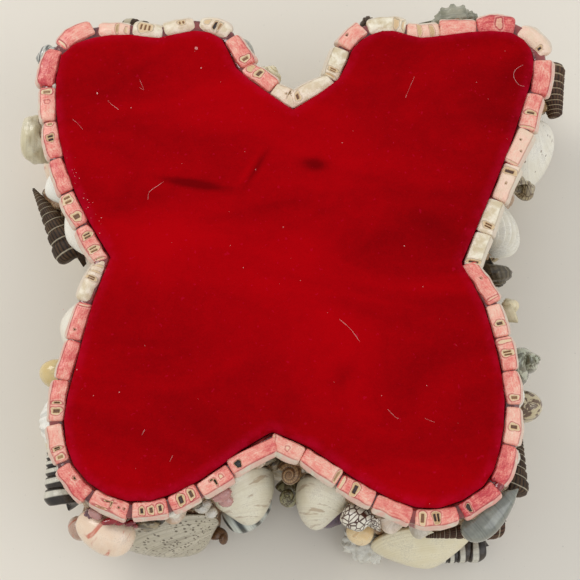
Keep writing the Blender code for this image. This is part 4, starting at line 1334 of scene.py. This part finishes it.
def layFillers(places, draw):
    kinds = list(fillerKinds)
    shares = [fillerKinds[kind][-1] for kind in kinds]
    chosen = draw.choice(len(kinds), len(places), p=np.array(shares) / sum(shares))
    finishes = {}
    for index, kind in enumerate(kinds):
        shape, fine, coarse, tip, look, slot, _ = fillerKinds[kind]
        if look["deep"] not in finishes:
            finishes[look["deep"]] = shellFinish("filler" + kind, look)
        for part, (steps, sides) in (("large", fine), ("small", coarse)):
            large = places[:, 2] >= filler["largeFrom"]
            mine = places[(chosen == index) & (large if part == "large" else ~large)]
            if not len(mine):
                continue
            ground = atStation(mine[:, 0], np.full(len(mine), filler["wall"] - 0.1 * mm))
            turnings = []
            for station, _, _ in mine:
                own = Euler((draw.uniform(-0.25, 0.25), draw.uniform(-0.25, 0.25), draw.uniform(-3.1, 3.1)))
                turnings.append((Matrix(uprightAt(station)) @ own.to_matrix()).to_euler())
            stretches = mine[:, 2:] * draw.uniform((1, 0.85, 0.8), (1.1, 1.1, 1.25), (len(mine), 3))
            material = finishes[look["deep"]]
            scatterShape(part + kind, unitShape(shape, steps, sides, tip, material), material,
                         np.column_stack((ground, mine[:, 1])), np.array(turnings), stretches,
                         draw.uniform(0, 1, len(mine)), slot)


def layWallGlue(name, near, far, places, low, high, material):
    columns, levels = near.shape
    along = np.arange(columns) * girth / columns
    rows = np.linspace(low, high, levels)
    thin = filler["glueThick"]
    height = np.where(np.isfinite(near), near - filler["wall"] + 0.5 * mm, thin)
    height = np.clip(height, thin, filler["glueMost"])
    for station, level, size in places:
        aside = np.abs(along - station)
        aside = np.minimum(aside, girth - aside)
        closeness = 1 - (aside[:, None] ** 2 + (rows[None] - level) ** 2) / (size * 0.46) ** 2
        height = np.maximum(height, closeness * size * 0.2)
    for _ in range(2):
        height = (height * 2 + np.roll(height, 1, axis=0) + np.roll(height, -1, axis=0)) / 4
        padded = np.pad(height, ((0, 0), (1, 1)), mode="edge")
        height = (padded[:, :-2] + 2 * height + padded[:, 2:]) / 4
    padded = np.pad(far, ((0, 0), (1, 1)), mode="edge")
    cover = np.minimum(np.minimum(padded[:, :-2], far), padded[:, 2:])
    cover = np.minimum(cover, np.minimum(np.roll(cover, 1, axis=0), np.roll(cover, -1, axis=0)))
    cover -= filler["wall"] + 0.7 * mm
    height = np.minimum(height, np.maximum(cover, 0.1 * mm))
    rings = []
    for row, level in enumerate(rows):
        middle = np.column_stack((atStation(along, filler["wall"]), np.full(columns, level)))
        uneven = smoothNoise(middle, 3 * mm, 31) * 0.12 * mm + smoothNoise(middle, 9 * mm, 32) * 0.12 * mm
        rings.append(np.column_stack((atStation(along, filler["wall"] + height[:, row] + uneven),
                                      np.full(columns, level))))
    for level in (high, low):
        rings.append(np.column_stack((atStation(along, filler["wall"] - 0.3 * mm), np.full(columns, level))))
    addPiece(name, ringMesh(name, rings), material)


def sandyGlueMaterial():
    material, tree, shader = newMaterial("sandyGlue", {"Coat Weight": 0.5, "Coat Roughness": 0.15})
    place = tree.place()
    cloud = tree.noise(place, 110.0, 4.0, 0.6)
    sand = tree.cells(place, 1500.0)
    grain = tree.noise(place, 1300.0, 3.0, 0.7)
    paint = tree.mix(cloud.above(0.5, 0.3), fromPhoto(150, 112, 74), fromPhoto(92, 58, 38))
    paint = tree.mix(grain.above(0.56, 0.1) * 0.7, paint, fromPhoto(206, 184, 144))
    paint = tree.mix(tree.noise(place, 260.0).above(0.64, 0.1) * 0.5, paint, fromPhoto(126, 44, 40))
    connect(tree, shader, paint, 0.3 + grain * 0.4, sand * 0.4 + grain * 0.6, 0.0004, 0.8)
    return material


def fillWalls():
    draw = np.random.default_rng(40)
    sandyGlue = sandyGlueMaterial()
    everyPlace = []
    for side, (low, high) in filler["bands"].items():
        near, far = measureBand(low, high)
        places = throwPlaces(near, low, high, draw)
        everyPlace.append(places)
        layWallGlue(side + "WallGlue", near, far, places, low - 0.6 * mm, high + 0.5 * mm, sandyGlue)
    layFillers(np.vstack(everyPlace), draw)
    print("small shells:", sum(len(places) for places in everyPlace))


# Small shells that the photo shows by themselves: middle, then size along, up and outwards in mm, spin, tip,
# shape and look
strays = (
    ("greenSnail", (-2.5, -69.2, 22), (9, 9, 9), 90, 20, turbanForm,
     {**mottledHorn, "base": (140, 134, 98), "pale": (186, 178, 138), "deep": (84, 70, 42)}),
    ("creamBead", (19.8, -81.6, 27), (8.5, 8.5, 8), 0, 0, {**cowrie, "Blunt": 0.02, "Slit": 0.0},
     {**peach, "base": (226, 190, 130), "pale": (246, 228, 190), "deep": (196, 138, 72), "blotchAmount": 0.5}),
    ("ochreSnail", (68.2, -13.6, 36), (9, 7, 8), 0, 0, turbanForm, {**cream, "deep": (176, 118, 52)}),
    ("blackChip", (24.0, 81.6, 47.3), (5.5, 12, 5), 0, 0, {**lump, "Lumps": 0.2},
     {**darkHorn, "bandAmount": 0.0, "base": (30, 27, 25), "coat": 0.4}),
    ("brightValve", (-78.4, 25.7, 42), (12, 13, 6), 180, 0, fullClam, {**white, "base": (242, 238, 226)}),
    ("longValve", (-70.6, 9.6, 42.5), (19, 10, 5.5), 180, 0, fullClam, {**white, "base": (238, 230, 214)}),
    ("thinShard", (26.6, -83.6, 20), (6, 8, 4), 0, 0, lump, {**greyish, "pale": (214, 210, 192), "clear": 0.3}),
    ("brownTip", (-25.1, -82.4, 8), (6, 6, 6), 40, 30, turbanForm, brownHorn),
    ("brownLip", (-67.0, -80.4, 26), (8, 8, 7), 30, 0, cowrie,
     {**peach, "base": (186, 146, 122), "pale": (218, 190, 166), "clear": 0.2, "coat": 0.8}),
    ("purpleBit", (-59.6, -77.2, 44.5), (5, 6, 5), 0, 0, lump, {**brownHorn, "base": (120, 76, 96), "coat": 0.6}),
)
glueDrops = {  # middle and half sizes in mm, turn about the upright, for each colour of glue
    "redGlue": (fromPhoto(178, 8, 22), fromPhoto(120, 4, 16), (
        (-53.0, -79.4, 49.6, 3.2, 1.2, 1.1, 14), (-50.6, -79.9, 49.0, 2.0, 0.9, 1.0, 10),
        (-46.6, -80.8, 47.0, 0.9, 0.9, 2.6, 0), (-47.6, -80.0, 49.2, 1.8, 1.0, 0.9, 20),
        (58.2, -69.8, 52.8, 3.4, 1.5, 1.2, 52), (57.0, -67.6, 53.4, 1.4, 1.1, 0.9, 30))),
    "pinkBlobs": (fromPhoto(214, 160, 150), fromPhoto(178, 104, 98), (
        (-21.7, -71.8, 47.6, 3.2, 2.2, 2.4, 24), (-20.7, -73.4, 44.6, 2.4, 2.0, 2.4, 0),
        (-9.4, -60.4, 49.4, 2.4, 1.6, 1.4, 30), (35.2, -80.0, 47.6, 3.0, 1.6, 1.6, 0),
        (-58.1, -77.4, 48.4, 2.4, 1.6, 1.4, -30))),
    "whiteBlobs": (fromPhoto(232, 226, 214), fromPhoto(198, 184, 160), (
        (-28.0, -75.0, 40.6, 2.4, 2.0, 2.2, 0), (-25.4, -76.4, 38.4, 2.0, 1.8, 2.0, 0),
        (-29.4, -73.4, 42.6, 1.8, 1.6, 1.8, 0), (-26.4, -74.2, 42.8, 1.5, 1.5, 1.6, 0),
        # painted highlight: this white bead stands where a glint shows at the lower end of the second piece; the
        # others are white glue
        (-77.2, 56.4, 53.6, 1.0, 1.0, 1.2, 0))),
}


def setStrays():
    for name, middle, size, spin, tip, shape, look in strays:
        material = shellFinish(name, look)
        mesh = growShape(shape, material)
        upright = uprightAt(toStation(np.array((middle[:2],)) * mm)[0][0])
        inside = np.array(middle) * mm @ upright
        half = np.array(size) * mm / 2
        fitToBox(mesh, upright, inside - half, inside + half, spin, tip, 0)
        outwardFaces(mesh)
        addPiece(name, mesh, material)
        laidShells.append(readPoints(mesh))


def dripGlue():
    for name, (clear, stained, drops) in glueDrops.items():
        material = glueMaterial(name, clear, stained, 0.25)
        blob = growShape(lump, material, Steps=22, Sides=26, Lumps=0.16, Fine=0.1)
        outwardFaces(blob)
        rows = np.array(drops)
        turnings = np.column_stack((np.zeros((len(rows), 2)), np.radians(rows[:, 6])))
        scatterShape(name, blob, material, rows[:, :3] * mm, turnings, rows[:, 3:6] * mm, rows[:, 0])


# Lint and hairs on the velvet

lint = {
    "specks": 46,
    "edgeSpecks": 34,  # by the left wing's edge
    "bright": ((-62.6, 52.5, 0.36), (-31.9, 68.8, 0.5), (-51.6, 47.9, 0.26), (-30.6, 61.4, 0.2), (-12.0, 27.2, 0.2),
               (-65.0, -36.6, 0.24), (-51.8, -43.6, 0.2), (-3.6, 8.2, 0.18), (33.0, 2.0, 0.18), (54.0, 0.0, 0.17)),
    "radius": 0.034 * mm,
    "hairs": (
        ((-59.6, 50.4), (-58.3, 49.0), (-56.0, 47.2)), ((-70.3, 43.8), (-68.7, 42.4), (-67.0, 40.3)),
        ((73.0, 63.0), (70.5, 61.3), (69.7, 58.8), (71.1, 56.0), (72.9, 55.3)),
        ((34.9, 51.4), (36.3, 54.9), (38.0, 58.8)), ((13.0, -21.3), (16.2, -24.3), (18.8, -28.0)),
        ((-45.6, 16.8), (-45.1, 19.5), (-42.1, 21.8), (-40.9, 22.8)), ((-49.8, 57.7), (-48.4, 54.2), (-49.7, 54.9)),
        ((-43.7, -54.0), (-44.5, -55.7)), ((-36.2, -63.2), (-35.4, -61.5)),
        ((26.5, -48.2), (28.8, -50.5), (29.6, -50.8)), ((37.2, -50.8), (40.0, -52.0)),
    ),
}


def growThreads():  # a thin round thread along each row of edges
    tree = ShapeTree("threads", {"Radius": lint["radius"]})
    curve = tree.add("GeometryNodeMeshToCurve", {}, {"Mesh": tree.given("Geometry")})
    ring = tree.add("GeometryNodeCurvePrimitiveCircle", {}, {"Resolution": 5, "Radius": tree.given("Radius")})
    tube = tree.add("GeometryNodeCurveToMesh", {}, {"Curve": curve, "Profile Curve": ring, "Fill Caps": True})
    return tree.leave(tube)


def lintMaterial():
    material, tree, shader = newMaterial("lint", {"Roughness": 0.8, "Sheen Weight": 0.3})
    cloud = tree.noise(tree.place(), 300.0)
    connect(tree, shader, tree.mix(cloud.above(0.5, 0.3), fromPhoto(206, 96, 92), fromPhoto(240, 196, 186)))
    return material


def scatterLint():
    draw = np.random.default_rng(52)
    material = lintMaterial()
    velvetPoints = readPoints(bpy.data.objects["velvetPad"].data)
    velvetPoints = velvetPoints[velvetPoints[:, 2] > panel["top"] - 0.6 * mm]
    byEdge = velvetPoints[(velvetPoints[:, 0] < -58 * mm) & (np.abs(velvetPoints[:, 1] - 14 * mm) < 20 * mm)]
    byEdge = byEdge[distanceToEdge(byEdge[:, :2]) < 4 * mm]
    bright = np.array(lint["bright"])
    spots = np.vstack((draw.choice(velvetPoints, lint["specks"], replace=False),
                       draw.choice(byEdge, lint["edgeSpecks"], replace=False),
                       [velvetPoints[np.linalg.norm(velvetPoints[:, :2] - row[:2] * mm, axis=1).argmin()]
                        for row in bright]))
    sizes = np.concatenate((draw.uniform(0.06, 0.15, lint["specks"] + lint["edgeSpecks"]), bright[:, 2])) * mm
    speck = growShape(lump, material, Steps=7, Sides=8, Lumps=0.3, Fine=0.2)
    outwardFaces(speck)
    scatterShape("specks", speck, material, spots, draw.uniform(0, 3, (len(spots), 3)),
                 sizes[:, None] * draw.uniform(0.6, 1.3, (len(spots), 3)), sizes)
    points = []
    edges = []
    for hair in lint["hairs"]:
        row = np.array(hair) * mm
        row = [2 * row[0] - row[1], *row, 2 * row[-1] - row[-2]]
        smooth = [curveThrough(*four, 7) for four in zip(row, row[1:], row[2:], row[3:])]
        smooth = np.vstack((*smooth, row[-2]))
        edges.extend((len(points) + index, len(points) + index + 1) for index in range(len(smooth) - 1))
        for x, y in smooth:
            below = np.linalg.norm(velvetPoints[:, :2] - (x, y), axis=1).argmin()
            points.append((x, y, velvetPoints[below, 2] + 0.05 * mm))
    strands = bpy.data.meshes.new("hairs")
    strands.from_pydata(points, edges, [])
    addPiece("hairs", evaluatedMesh(strands, growThreads(), {"Finish": material}), material)


setStrays()
print("small shells of the photo ready")
fillWalls()
dripGlue()
scatterLint()
print("glue drops and lint ready")
